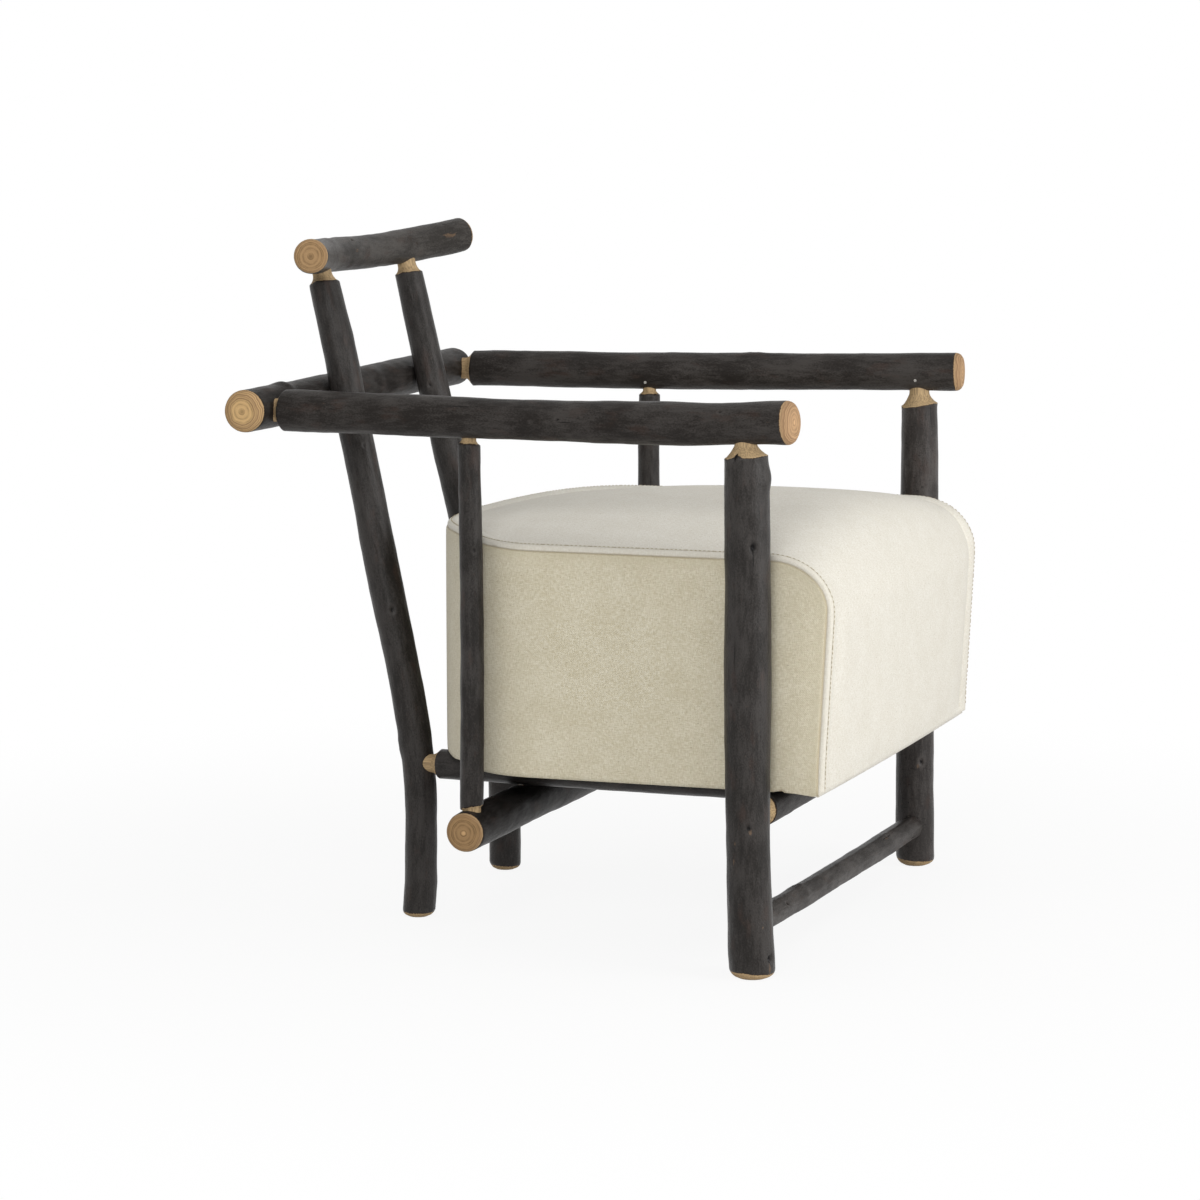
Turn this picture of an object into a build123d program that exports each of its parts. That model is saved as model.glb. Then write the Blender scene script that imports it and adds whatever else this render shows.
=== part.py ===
from build123d import *
import os
from math import cos, radians, sin, sqrt

# Twig armchair of round logs with whittled tenons and one deep upholstered seat.
# Millimetres. +Z up, the chair faces -Y, and "right" is the sitter's right, at -X.
# The floor is z = 0, and the origin is the middle of the chair's footprint.

# --- driving dimensions: the logs, each as (x, y, z, radius) along its own run -------------
# Legs, posts and spindles run up from the floor, arms run from the front to the back,
# and the crossing logs run from the sitter's right to the left.
SIDES = {"right": -1, "left": 1}

LEG_RUN = {
    "right": ((-336.4, -273.5, 0, 24.6), (-336.9, -271.2, 60, 24.8), (-337.6, -269.3, 130, 23.8),
              (-338.6, -268.0, 240, 24.8), (-340.1, -268.3, 410, 25.0), (-341.0, -267.6, 500, 24.5),
              (-341.6, -266.4, 566.5, 23.2)),
    "left": ((336.4, -271.5, 0, 23.3), (337.0, -270.0, 80, 23.2), (338.0, -269.5, 180, 23.0),
             (339.6, -270.5, 320, 23.3), (340.9, -271.6, 455, 23.0), (341.6, -270.6, 564.0, 21.9)),
}
POST_RUN = {
    "right": ((-148.6, 191.4, 0, 18.7), (-147.2, 186.6, 65, 18.5), (-145.4, 186.9, 125, 18.4),
              (-143.4, 191.5, 187, 18.8), (-141.8, 202.3, 250, 19.0), (-139.9, 217.0, 320, 19.4),
              (-137.4, 238.0, 411, 19.9), (-135.2, 255.5, 495, 18.9), (-133.2, 270.4, 560, 19.1),
              (-131.4, 284.0, 625, 19.4), (-129.8, 299.0, 690, 18.5), (-128.8, 308.4, 728, 17.2)),
    "left": ((148.6, 194.0, 0, 18.9), (147.4, 193.6, 60, 19.2), (145.2, 194.6, 130, 19.0),
             (143.2, 198.6, 195, 18.8), (141.2, 207.0, 265, 18.9), (138.6, 225.0, 360, 19.0),
             (135.9, 246.0, 455, 18.8), (133.6, 265.0, 535, 18.7), (131.6, 282.0, 608, 18.1),
             (130.0, 296.5, 675, 17.4), (128.9, 307.4, 724, 16.4)),
}
ARM_RUN = {
    "right": ((-346.8, -321.5, 604.9, 24.0), (-342.6, -272.0, 603.0, 22.7), (-337.3, -213.0, 600.0, 23.0),
              (-332.2, -155.0, 598.7, 23.6), (-325.0, -70.0, 597.4, 22.5), (-314.0, 54.0, 596.4, 22.6),
              (-306.1, 145.0, 596.5, 22.9), (-298.0, 238.0, 596.4, 23.4), (-293.6, 288.0, 596.0, 22.7)),
    "left": ((346.8, -322.5, 604.4, 23.2), (342.2, -271.0, 603.6, 22.6), (334.8, -185.0, 602.0, 22.3),
             (324.0, -62.0, 599.9, 22.3), (313.1, 63.0, 598.3, 22.3), (302.1, 190.0, 597.9, 22.1),
             (293.6, 288.0, 597.0, 21.7)),
}
SPINDLE_RUN = {
    "right": ((-311.0, 60.5, 161.6, 13.0), (-311.0, 59.4, 300, 13.2), (-310.9, 59.8, 440, 12.9),
              (-310.6, 61.8, 568, 12.2)),
    "left": ((311.0, 61.0, 161.6, 13.0), (311.0, 63.0, 320, 13.2), (310.9, 64.6, 455, 13.2),
             (310.6, 63.4, 570, 12.9)),
}
SIDE_RAIL_RUN = {
    "right": ((-148.8, 161.0, 179.6, 17.2), (-153.6, 40.0, 179.7, 17.4), (-159.5, -105.0, 179.6, 17.3),
              (-165.0, -241.5, 179.6, 17.2)),
    "left": ((148.4, 168.0, 179.6, 17.2), (153.6, 40.0, 179.5, 17.4), (159.5, -105.0, 179.7, 17.2),
             (165.0, -241.5, 179.6, 17.2)),
}
FRONT_RAIL_RUN = ((-300.5, -271.4, 178.0, 18.7), (-150, -270.8, 177.8, 19.1), (20, -271.8, 177.9, 19.0),
                  (170, -271.2, 177.8, 19.1), (301.5, -271.6, 178.0, 18.6))
STRETCHER_RUN = ((-326, -271.4, 56.2, 14.2), (-250, -271.2, 55.2, 14.3), (-120, -271.6, 53.4, 14.5),
                 (10, -271.0, 51.6, 14.2), (130, -271.8, 50.6, 14.5), (250, -271.4, 50.0, 14.5),
                 (326, -271.4, 49.4, 14.2))
BEAM_RUN = ((-334.0, 61.5, 137.6, 22.0), (-290, 61.5, 138.4, 22.8), (-220, 61.6, 138.8, 23.2),
            (-153, 61.5, 139.0, 22.8), (0, 62.4, 137.6, 23.6), (153, 61.5, 139.0, 22.8),
            (240, 61.0, 138.6, 22.4), (334.0, 61.5, 138.0, 21.6))
BACK_RAIL_RUN = ((-338.0, 320.6, 597.6, 23.9), (-282, 320.8, 596.9, 23.8), (-195, 320.6, 596.2, 23.7),
                 (-95, 320.8, 596.7, 23.3), (36, 321.0, 597.5, 23.1), (164, 320.8, 598.2, 22.7),
                 (262, 320.8, 597.6, 22.8), (320.0, 320.6, 597.0, 22.6))
CREST_RADIUS = 575.0     # the crest rail bows back round the sitter on this arc
CREST_BACK = 330.0       # y of the middle of the crest rail
CREST_RISE = ((-234.8, 765.0, 19.4), (-180, 760.9, 19.5), (-110, 757.9, 19.7), (-30, 755.2, 19.7),
              (60, 753.9, 19.9), (130, 756.0, 20.3), (185, 759.8, 20.7), (234.8, 765.8, 20.6))

# --- driving dimensions: joints and hardware -----------------------------------------------
BIG_TENON = 12.0         # radius of the leg, post, arm and seat rail tenons
RAIL_TENON = 10.5        # radius of the side rail tenons
STICK_TENON = 8.0        # radius of the arm spindle tenons
BARK_STEP = 1.4          # how far a whittled cone starts inside the bark
FIT = 0.2                # glue line round a tenon
END_GAP = 1.0            # room at the bottom of a mortise
SCREW_R = 2.2            # wood screw shank
SCREW_HEAD_R = 4.2
BRAD_R = 0.9             # wire brads that lock the arm tenons
BRAD_HEAD_R = 1.7
BRAD_LENGTH = 32.0

# How the bare ends of the logs are eased, as (along the log, in from the bark).
LEG_FOOT_EASE = (6.5, 5.0)
POST_FOOT_EASE = (6.5, 4.2)
ARM_END_EASE = (7.5, 3.2)
ARM_BACK_EASE = (5.0, 4.0)
BACK_RAIL_EASE = (6.0, 8.5)
CREST_EASE = (3.0, 1.8)
BEAM_EASE = (3.0, 2.2)
RAIL_END_EASE = (3.0, 2.6)

# --- driving dimensions: the seat ----------------------------------------------------------
SEAT_HALF = 304.0        # half width of the cushion
SEAT_BASE = 197.6        # underside of the dust cover, on the rails
SEAM_Z = 452.0           # seam between the top panel and the side panel
CROWN = 33.0             # how far the middle of the top stands over the seam
SEAT_FRONT = -349.0      # front face at its fullest
FRONT_LEAN = 11.0        # how far the front face tucks in towards its foot
SHOULDER_Z = 402.0       # where the front face starts to roll over
REAR_RADIUS = 390.0      # the back of the seat is part of this circle
REAR_CENTRE = -208.0
REAR_CORNER = 110.0      # radius of the two back corners
CLOTH = 1.6              # cover with its backing
BOARD = 18.0             # plywood under the foam
DUST = 1.0               # dust cover
TURN_UNDER = 34.0        # cover folded in under the board
STAPLE_WIRE = 1.2
STAPLE_CROWN = 11.0

os.makedirs("parts", exist_ok=True)


# --- how a log and its joints are made -----------------------------------------------------
def heading(run, i):
    """Direction of a log's centre line at one of its stations."""
    after, before = run[min(i + 1, len(run) - 1)], run[max(i - 1, 0)]
    return (Vector(*after[:3]) - Vector(*before[:3])).normalized()


def log(run, level_foot=False):
    """A round log, lofted through circles that stand square to its run."""
    across = Vector(1, 0, 0) if abs(heading(run, 0).X) < 0.7 else Vector(0, 1, 0)
    with BuildPart() as wood:
        for i, (x, y, z, radius) in enumerate(run):
            ahead = Vector(0, 0, 1) if level_foot and i == 0 else heading(run, i)
            upward = ahead.cross(across).normalized()
            with BuildSketch(Plane(origin=(x, y, z), x_dir=upward.cross(ahead), z_dir=ahead)):
                Circle(radius)
        loft()
    return wood.part


def ends(run):
    """Centre and outward direction of a log's first and last ends."""
    first, last = Vector(*run[0][:3]), Vector(*run[-1][:3])
    return (first, heading(run, 0) * -1), (last, heading(run, len(run) - 1))


def foot_end(run):
    """Centre and outward direction of a log's sawn foot on the floor."""
    return Vector(*run[0][:3]), Vector(0, 0, -1)


def tenon(at, out, shoulder, bare, radius, depth):
    """Whittled cone from inside the bark, then the round tenon with an eased end."""
    tip = 1.5
    side = out.cross(Vector(0.31, 0.17, 0.93)).normalized()
    with BuildPart() as peg:
        with BuildSketch(Plane(origin=at, x_dir=side, z_dir=side.cross(out))):
            with BuildLine():
                Polyline(
                    (0, -4), (shoulder, -4), (shoulder, 0), (radius, bare),
                    (radius, bare + depth - tip), (radius - tip, bare + depth),
                    (0, bare + depth), close=True,
                )
            make_face()
        revolve(axis=Axis(at, out))
    return peg.part


def ease(end, radius, along_and_in):
    """Ring cutter that takes the bark's corner off a log's end."""
    at, out = end
    back, inward = along_and_in
    side = out.cross(Vector(0.31, 0.17, 0.93)).normalized()
    with BuildPart() as cutter:
        with BuildSketch(Plane(origin=at, x_dir=side, z_dir=side.cross(out))):
            with BuildLine():
                Polyline(
                    (radius - 1.2 * inward, 0.2 * back), (radius + inward, -2 * back),
                    (radius + inward, 0.2 * back), close=True,
                )
            make_face()
        revolve(axis=Axis(at, out))
    return cutter.part


def bore(at, out, radius, depth):
    """Round hole cutter that starts at a point and runs along a direction."""
    with BuildPart() as cutter:
        with BuildSketch(Plane(origin=at, z_dir=out)):
            Circle(radius)
        extrude(amount=depth)
    return cutter.part


def mortise(joint):
    """Hole for the tenon of a joint given as (at, out, shoulder, bare, radius, depth)."""
    at, out, _, bare, radius, depth = joint
    return bore(at, out, radius + FIT, bare + depth + END_GAP)


def screw(head_at, out, length):
    """Countersunk wood screw: flat head with a cross recess at head_at, point along out."""
    head_depth, tip, recess = 2.8, 5.0, 1.4
    side = out.cross(Vector(0.31, 0.17, 0.93)).normalized()
    with BuildPart() as body:
        with BuildSketch(Plane(origin=head_at, x_dir=side, z_dir=side.cross(out))):
            with BuildLine():
                Polyline(
                    (0, 0), (SCREW_HEAD_R, 0), (SCREW_HEAD_R, 0.4), (SCREW_R, head_depth),
                    (SCREW_R, length - tip), (0, length), close=True,
                )
            make_face()
        revolve(axis=Axis(head_at, out))
        with BuildSketch(Plane(origin=head_at, x_dir=side, z_dir=out)):
            Rectangle(4.4, 1.0)
            Rectangle(1.0, 4.4)
        extrude(amount=recess, mode=Mode.SUBTRACT)
    return body.part


def screw_hole(head_at, out, length, sink):
    """Clearance for a screw, with the counterbore that its head went in by."""
    with BuildPart() as cutter:
        add(bore(head_at - out * sink, out, SCREW_HEAD_R + 0.8, sink + 3.0))
        add(bore(head_at, out, SCREW_R + 0.05, length + 0.5))
    return cutter.part


# --- joints: (centre of the log's end, direction, shoulder radius, bare length, radius, depth)
leg_top, post_top, arm_back, spindle_top, spindle_foot, rail_back, rail_front = ({} for _ in range(7))
for side in SIDES:
    at, out = ends(LEG_RUN[side])[1]
    leg_top[side] = (at, out, LEG_RUN[side][-1][3] - BARK_STEP, 13.0, BIG_TENON, 22.0)
    at, out = ends(POST_RUN[side])[1]
    post_top[side] = (at, out, POST_RUN[side][-1][3] - BARK_STEP, 9.5, BIG_TENON - 1, 22.0)
    at, out = ends(ARM_RUN[side])[1]
    arm_back[side] = (at, out, BIG_TENON + 2.2, 7.6, BIG_TENON + 1, 22.0)
    at, out = ends(SPINDLE_RUN[side])[1]
    spindle_top[side] = (at, out, SPINDLE_RUN[side][-1][3] - 1.0, 4.0, STICK_TENON, 20.0)
    at, out = ends(SPINDLE_RUN[side])[0]
    spindle_foot[side] = (at, out, STICK_TENON + 1.5, 0.6, STICK_TENON, 20.0)
    first, last = ends(SIDE_RAIL_RUN[side])
    rail_back[side] = (*first, RAIL_TENON + 3.0, 9.0, RAIL_TENON, 20.0)
    rail_front[side] = (*last, SIDE_RAIL_RUN[side][-1][3] - BARK_STEP, 9.5, RAIL_TENON, 16.0)
front_rail_end = {
    side: (*end, FRONT_RAIL_RUN[0][3] - BARK_STEP, 11.5, BIG_TENON, 22.0)
    for side, end in zip(SIDES, ends(FRONT_RAIL_RUN))
}

# The stretcher is let into the legs at its full thickness, with no cone.
stretcher_socket = {
    side: (at + out * END_GAP, out * -1, STRETCHER_RUN[0][3] + 0.5, 40.0)
    for side, (at, out) in zip(SIDES, ends(STRETCHER_RUN))
}

# Wire brads go in from the inner face of the arm, level, through the leg and spindle tenons.
brads = {side: [] for side in SIDES}
for side, s in SIDES.items():
    for y, drop in ((LEG_RUN[side][-1][1], 9.0), (SPINDLE_RUN[side][-1][1], 13.0)):
        run = ARM_RUN[side]
        j = next(k for k in range(len(run) - 1) if run[k + 1][1] > y)
        part_way = (y - run[j][1]) / (run[j + 1][1] - run[j][1])
        x, _, z, radius = (a + (b - a) * part_way for a, b in zip(run[j], run[j + 1]))
        inner = abs(x) - sqrt(radius**2 - drop**2)
        brads[side].append((Vector(s * inner, y, z - drop), Vector(s, 0, 0)))

# Screws: back rail to posts from behind, beam to side rails from below, rails to seat board.
back_screws = {side: (Vector(s * 132.2, 339.0, 598.0), Vector(0, -1, 0), 62.0) for side, s in SIDES.items()}
beam_screws = {side: (Vector(s * 152.6, 61.5, 128.0), Vector(0, 0, 1), 58.0) for side, s in SIDES.items()}
SEAT_SCREW_Y = (-190.0, 98.0)
seat_screws = {
    side: [(Vector(s * (156.8 + (-y - 35) * 0.0398), y, 172.0), Vector(0, 0, 1), 41.0) for y in SEAT_SCREW_Y]
    for side, s in SIDES.items()
}


# --- the logs ------------------------------------------------------------------------------
for side, s in SIDES.items():
    with BuildPart() as front_leg:
        add(log(LEG_RUN[side], level_foot=True))
        add(ease(foot_end(LEG_RUN[side]), LEG_RUN[side][0][3], LEG_FOOT_EASE), mode=Mode.SUBTRACT)
        add(tenon(*leg_top[side]))
        add(mortise(front_rail_end[side]), mode=Mode.SUBTRACT)
        add(bore(*stretcher_socket[side]), mode=Mode.SUBTRACT)
        for at, out in brads[side][:1]:
            add(bore(at, out, BRAD_R + 0.05, BRAD_LENGTH + 1), mode=Mode.SUBTRACT)
    front_leg.part.label = f"front_leg_{side}"
    export_step(front_leg.part, f"parts/front_leg_{side}.step")

    with BuildPart() as rear_post:
        add(log(POST_RUN[side], level_foot=True))
        add(ease(foot_end(POST_RUN[side]), POST_RUN[side][0][3], POST_FOOT_EASE), mode=Mode.SUBTRACT)
        add(tenon(*post_top[side]))
        add(mortise(rail_back[side]), mode=Mode.SUBTRACT)
        add(screw_hole(*back_screws[side], sink=10), mode=Mode.SUBTRACT)
    rear_post.part.label = f"rear_post_{side}"
    export_step(rear_post.part, f"parts/rear_post_{side}.step")

    with BuildPart() as arm:
        add(log(ARM_RUN[side]))
        arm_front, arm_rear = ends(ARM_RUN[side])
        add(ease(arm_front, ARM_RUN[side][0][3], ARM_END_EASE), mode=Mode.SUBTRACT)
        add(ease(arm_rear, ARM_RUN[side][-1][3], ARM_BACK_EASE), mode=Mode.SUBTRACT)
        add(tenon(*arm_back[side]))
        add(mortise(leg_top[side]), mode=Mode.SUBTRACT)
        add(mortise(spindle_top[side]), mode=Mode.SUBTRACT)
        for at, out in brads[side]:
            add(bore(at, out, BRAD_R + 0.05, BRAD_LENGTH + 1), mode=Mode.SUBTRACT)
            add(bore(at - out * 3, out, BRAD_HEAD_R + 0.1, 3.3), mode=Mode.SUBTRACT)
    arm.part.label = f"arm_{side}"
    export_step(arm.part, f"parts/arm_{side}.step")

    with BuildPart() as arm_spindle:
        add(log(SPINDLE_RUN[side]))
        add(tenon(*spindle_top[side]))
        add(tenon(*spindle_foot[side]))
        for at, out in brads[side][1:]:
            add(bore(at, out, BRAD_R + 0.05, BRAD_LENGTH + 1), mode=Mode.SUBTRACT)
    arm_spindle.part.label = f"arm_spindle_{side}"
    export_step(arm_spindle.part, f"parts/arm_spindle_{side}.step")

    with BuildPart() as side_rail:
        add(log(SIDE_RAIL_RUN[side]))
        for end, station in zip(ends(SIDE_RAIL_RUN[side]), (0, -1)):
            add(ease(end, SIDE_RAIL_RUN[side][station][3], RAIL_END_EASE), mode=Mode.SUBTRACT)
        add(tenon(*rail_back[side]))
        add(tenon(*rail_front[side]))
        add(screw_hole(*beam_screws[side], sink=10), mode=Mode.SUBTRACT)
        for seat_screw in seat_screws[side]:
            add(screw_hole(*seat_screw, sink=12), mode=Mode.SUBTRACT)
    side_rail.part.label = f"side_rail_{side}"
    export_step(side_rail.part, f"parts/side_rail_{side}.step")

with BuildPart() as front_seat_rail:
    add(log(FRONT_RAIL_RUN))
    for end, station in zip(ends(FRONT_RAIL_RUN), (0, -1)):
        add(ease(end, FRONT_RAIL_RUN[station][3], RAIL_END_EASE), mode=Mode.SUBTRACT)
    for side in SIDES:
        add(tenon(*front_rail_end[side]))
        add(mortise(rail_front[side]), mode=Mode.SUBTRACT)
front_seat_rail.part.label = "front_seat_rail"
export_step(front_seat_rail.part, "parts/front_seat_rail.step")

with BuildPart() as front_stretcher:
    add(log(STRETCHER_RUN))
front_stretcher.part.label = "front_stretcher"
export_step(front_stretcher.part, "parts/front_stretcher.step")

with BuildPart() as seat_cross_beam:
    add(log(BEAM_RUN))
    for end, station in zip(ends(BEAM_RUN), (0, -1)):
        add(ease(end, BEAM_RUN[station][3], BEAM_EASE), mode=Mode.SUBTRACT)
    for side in SIDES:
        add(mortise(spindle_foot[side]), mode=Mode.SUBTRACT)
        add(screw_hole(*beam_screws[side], sink=20), mode=Mode.SUBTRACT)
seat_cross_beam.part.label = "seat_cross_beam"
export_step(seat_cross_beam.part, "parts/seat_cross_beam.step")

# The back rail is scooped a little where it bears on the two posts.
with BuildPart() as back_rail:
    add(log(BACK_RAIL_RUN))
    for end, station in zip(ends(BACK_RAIL_RUN), (0, -1)):
        add(ease(end, BACK_RAIL_RUN[station][3], BACK_RAIL_EASE), mode=Mode.SUBTRACT)
    for side in SIDES:
        add(log([(x, y, z, radius + FIT) for x, y, z, radius in POST_RUN[side]]), mode=Mode.SUBTRACT)
        add(mortise(arm_back[side]), mode=Mode.SUBTRACT)
        add(screw_hole(*back_screws[side], sink=20), mode=Mode.SUBTRACT)
back_rail.part.label = "back_rail"
export_step(back_rail.part, "parts/back_rail.step")

crest_centre = CREST_BACK - CREST_RADIUS
CREST_RUN = [(x, crest_centre + sqrt(CREST_RADIUS**2 - x**2), z, r) for x, z, r in CREST_RISE]
with BuildPart() as crest_rail:
    add(log(CREST_RUN))
    for end, station in zip(ends(CREST_RUN), (0, -1)):
        add(ease(end, CREST_RUN[station][3], CREST_EASE), mode=Mode.SUBTRACT)
    for side in SIDES:
        add(mortise(post_top[side]), mode=Mode.SUBTRACT)
crest_rail.part.label = "crest_rail"
export_step(crest_rail.part, "parts/crest_rail.step")


# --- the seat ------------------------------------------------------------------------------
def seat_plan(inset, low, high, front=SEAT_FRONT - 30):
    """D-shaped block: straight sides, round back, drawn in by inset all round but the front."""
    half = SEAT_HALF - inset
    with BuildPart() as block:
        with BuildSketch(Plane.XY.offset(low)):
            with Locations((0, REAR_CENTRE)):
                Circle(REAR_RADIUS - inset)
            with Locations((0, front)):
                Rectangle(2 * half, 1000, align=(Align.CENTER, Align.MIN), mode=Mode.INTERSECT)
            corners = [v for v in vertices() if v.Y > 0]
            fillet(corners, radius=REAR_CORNER - inset)
        extrude(amount=high - low)
    return block.part


def crowned_block(skin):
    """Wide block under the seat's top and front surfaces, both lowered by the skin."""
    with BuildPart() as block:
        for x in (-340, -SEAT_HALF, -255, -150, 0, 150, 255, SEAT_HALF, 340):
            swell = max(0.0, 1 - (x / SEAT_HALF) ** 2)
            rise = CROWN * swell
            face = SEAT_FRONT - 3.0 * swell + skin
            top = SEAM_Z - skin
            with BuildSketch(Plane.YZ.offset(x)):
                with BuildLine():
                    roll = Spline(
                        (240, top), (60, top + 0.62 * rise), (-150, top + rise),
                        (-288, top - 2.5 + 0.80 * rise), (face + 16, top - 15 + 0.55 * rise),
                        (face, SHOULDER_Z + 0.2 * rise),
                        tangents=((-1, 0), (0.03, -1)),
                    )
                    foot = face + FRONT_LEAN
                    Polyline(
                        roll @ 1, (foot, SEAT_BASE), (foot, SEAT_BASE - 20), (240, SEAT_BASE - 20), roll @ 0,
                    )
                make_face()
        loft()
    return block.part


board_low = SEAT_BASE + DUST + CLOTH
board_high = board_low + BOARD
front_foot = SEAT_FRONT + FRONT_LEAN
seam_top = SEAM_Z + CROWN + 10

# Staples round the underside, through the turned-under cover and into the board.
staples = []
staple_inset = 20.0
for y in range(-270, 31, 60):
    for s in SIDES.values():
        staples.append((s * (SEAT_HALF - staple_inset), y, 90))
for x in range(-240, 241, 60):
    staples.append((x, front_foot + staple_inset, 0))
for turn in range(-36, 37, 9):
    reach = REAR_RADIUS - staple_inset
    staples.append((reach * sin(radians(turn)), REAR_CENTRE + reach * cos(radians(turn)), -turn))

with BuildPart() as cover_staples:
    for x, y, turn in staples:
        along = Vector(cos(radians(turn)), sin(radians(turn)), 0)
        leg = STAPLE_CROWN / 2 - STAPLE_WIRE / 2
        with BuildSketch(Plane(origin=(x, y, SEAT_BASE + DUST - 0.6), x_dir=along, z_dir=(0, 0, 1))):
            Rectangle(STAPLE_CROWN, STAPLE_WIRE)
        extrude(amount=0.6)
        with BuildSketch(Plane(origin=(x, y, SEAT_BASE + DUST), x_dir=along, z_dir=(0, 0, 1))):
            with Locations((-leg, 0), (leg, 0)):
                Rectangle(STAPLE_WIRE, STAPLE_WIRE)
        extrude(amount=CLOTH + 8)
cover_staples.part.label = "cover_staples"
export_step(cover_staples.part, "parts/cover_staples.step")

with BuildPart() as seat_board:
    add(crowned_block(CLOTH + 0.3))
    add(seat_plan(CLOTH + 0.3, board_low, board_high), mode=Mode.INTERSECT)
    add(cover_staples.part, mode=Mode.SUBTRACT)
    for side in SIDES:
        for seat_screw in seat_screws[side]:
            add(screw_hole(*seat_screw, sink=1), mode=Mode.SUBTRACT)
seat_board.part.label = "seat_board"
export_step(seat_board.part, "parts/seat_board.step")

with BuildPart() as seat_foam:
    add(crowned_block(CLOTH + 0.3))
    add(seat_plan(CLOTH + 0.3, board_high, seam_top), mode=Mode.INTERSECT)
seat_foam.part.label = "seat_foam"
export_step(seat_foam.part, "parts/seat_foam.step")

# The side panel goes round the two sides and the back, and folds in under the board.
with BuildPart() as seat_side_cover:
    add(crowned_block(CLOTH))
    add(seat_plan(0, board_low - CLOTH, seam_top), mode=Mode.INTERSECT)
    add(seat_plan(CLOTH, board_low, seam_top), mode=Mode.SUBTRACT)
    add(seat_plan(TURN_UNDER, SEAT_BASE, board_low + 1, front=-500), mode=Mode.SUBTRACT)
    with BuildSketch(Plane.XY.offset(board_low - CLOTH)):
        with Locations((0, front_foot - 60)):
            Rectangle(2 * (SEAT_HALF - CLOTH), 60 + TURN_UNDER, align=(Align.CENTER, Align.MIN))
    extrude(amount=CLOTH, mode=Mode.SUBTRACT)
    add(cover_staples.part, mode=Mode.SUBTRACT)
seat_side_cover.part.label = "seat_side_cover"
export_step(seat_side_cover.part, "parts/seat_side_cover.step")

# The top panel runs over the crown and down the front, and folds in under the board too.
with BuildPart() as under_top_panel:
    add(crowned_block(CLOTH))
    with BuildSketch(Plane.XY.offset(board_low - CLOTH)):
        with Locations((0, front_foot - 60)):
            Rectangle(2 * (SEAT_HALF - CLOTH - 0.4), 58 + TURN_UNDER, align=(Align.CENTER, Align.MIN))
    extrude(amount=CLOTH, mode=Mode.SUBTRACT)

with BuildPart() as seat_top_cover:
    add(crowned_block(0))
    add(seat_plan(0, board_low - CLOTH, seam_top), mode=Mode.INTERSECT)
    add(under_top_panel.part, mode=Mode.SUBTRACT)
    add(cover_staples.part, mode=Mode.SUBTRACT)
seat_top_cover.part.label = "seat_top_cover"
export_step(seat_top_cover.part, "parts/seat_top_cover.step")

with BuildPart() as dust_cover:
    add(seat_plan(12, SEAT_BASE, SEAT_BASE + DUST, front=front_foot + 12))
    add(cover_staples.part, mode=Mode.SUBTRACT)
    for side in SIDES:
        for seat_screw in seat_screws[side]:
            add(screw_hole(*seat_screw, sink=1), mode=Mode.SUBTRACT)
dust_cover.part.label = "dust_cover"
export_step(dust_cover.part, "parts/dust_cover.step")

# --- hardware ------------------------------------------------------------------------------
with BuildPart() as arm_brads:
    for side in SIDES:
        for at, out in brads[side]:
            add(bore(at, out, BRAD_R, BRAD_LENGTH))
            add(bore(at - out * 0.8, out, BRAD_HEAD_R, 1.0))
arm_brads.part.label = "arm_brads"
export_step(arm_brads.part, "parts/arm_brads.step")

with BuildPart() as back_rail_screws:
    for side in SIDES:
        add(screw(*back_screws[side]))
back_rail_screws.part.label = "back_rail_screws"
export_step(back_rail_screws.part, "parts/back_rail_screws.step")

with BuildPart() as cross_beam_screws:
    for side in SIDES:
        add(screw(*beam_screws[side]))
cross_beam_screws.part.label = "cross_beam_screws"
export_step(cross_beam_screws.part, "parts/cross_beam_screws.step")

with BuildPart() as seat_board_screws:
    for side in SIDES:
        for seat_screw in seat_screws[side]:
            add(screw(*seat_screw))
seat_board_screws.part.label = "seat_board_screws"
export_step(seat_board_screws.part, "parts/seat_board_screws.step")
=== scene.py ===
from math import cos, pi, radians, sin, tau

import bmesh
import bpy
import numpy as np
from mathutils import Matrix, Vector


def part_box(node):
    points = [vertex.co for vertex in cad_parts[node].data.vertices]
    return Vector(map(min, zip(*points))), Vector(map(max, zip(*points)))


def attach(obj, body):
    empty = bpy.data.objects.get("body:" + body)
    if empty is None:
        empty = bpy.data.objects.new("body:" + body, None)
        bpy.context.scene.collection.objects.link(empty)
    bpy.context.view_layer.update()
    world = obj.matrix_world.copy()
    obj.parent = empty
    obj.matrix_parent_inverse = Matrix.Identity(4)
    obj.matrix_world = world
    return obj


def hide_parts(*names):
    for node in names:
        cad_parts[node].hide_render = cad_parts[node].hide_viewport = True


# Low twig armchair: dark barked logs, whittled tenons and one deep linen seat. Metres, +Z up,
# the chair faces -Y and the sitter's right is at -X. Every log follows its CAD node.
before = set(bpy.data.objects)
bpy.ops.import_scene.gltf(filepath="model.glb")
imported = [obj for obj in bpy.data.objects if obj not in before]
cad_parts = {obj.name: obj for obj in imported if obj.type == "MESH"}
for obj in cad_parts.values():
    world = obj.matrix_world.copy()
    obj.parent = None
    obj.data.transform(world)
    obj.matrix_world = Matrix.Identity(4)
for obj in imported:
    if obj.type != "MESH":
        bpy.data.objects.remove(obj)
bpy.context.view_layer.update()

# --- Studio ---------------------------------------------------------------------------------
# A white floor that keeps the chair's shadow, a white room, and three soft boxes: in front of the
# chair, at its right and over it. The camera stands at the sitter's right, a little above the arms.
CAMERA_PLACE = Vector((-4.8824, -1.6959, 1.0571))
CAMERA_TURN, CAMERA_RISE, CAMERA_ROLL = radians(-70.647), radians(7.709), radians(-0.08)
CAMERA_LENS, CAMERA_SENSOR = 134.51, 36.0
WHITE = (1, 1, 1, 1)
FLOOR_HALF, FLOOR_PAPER = 30.0, (0.86, 0.86, 0.86, 1)
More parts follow.
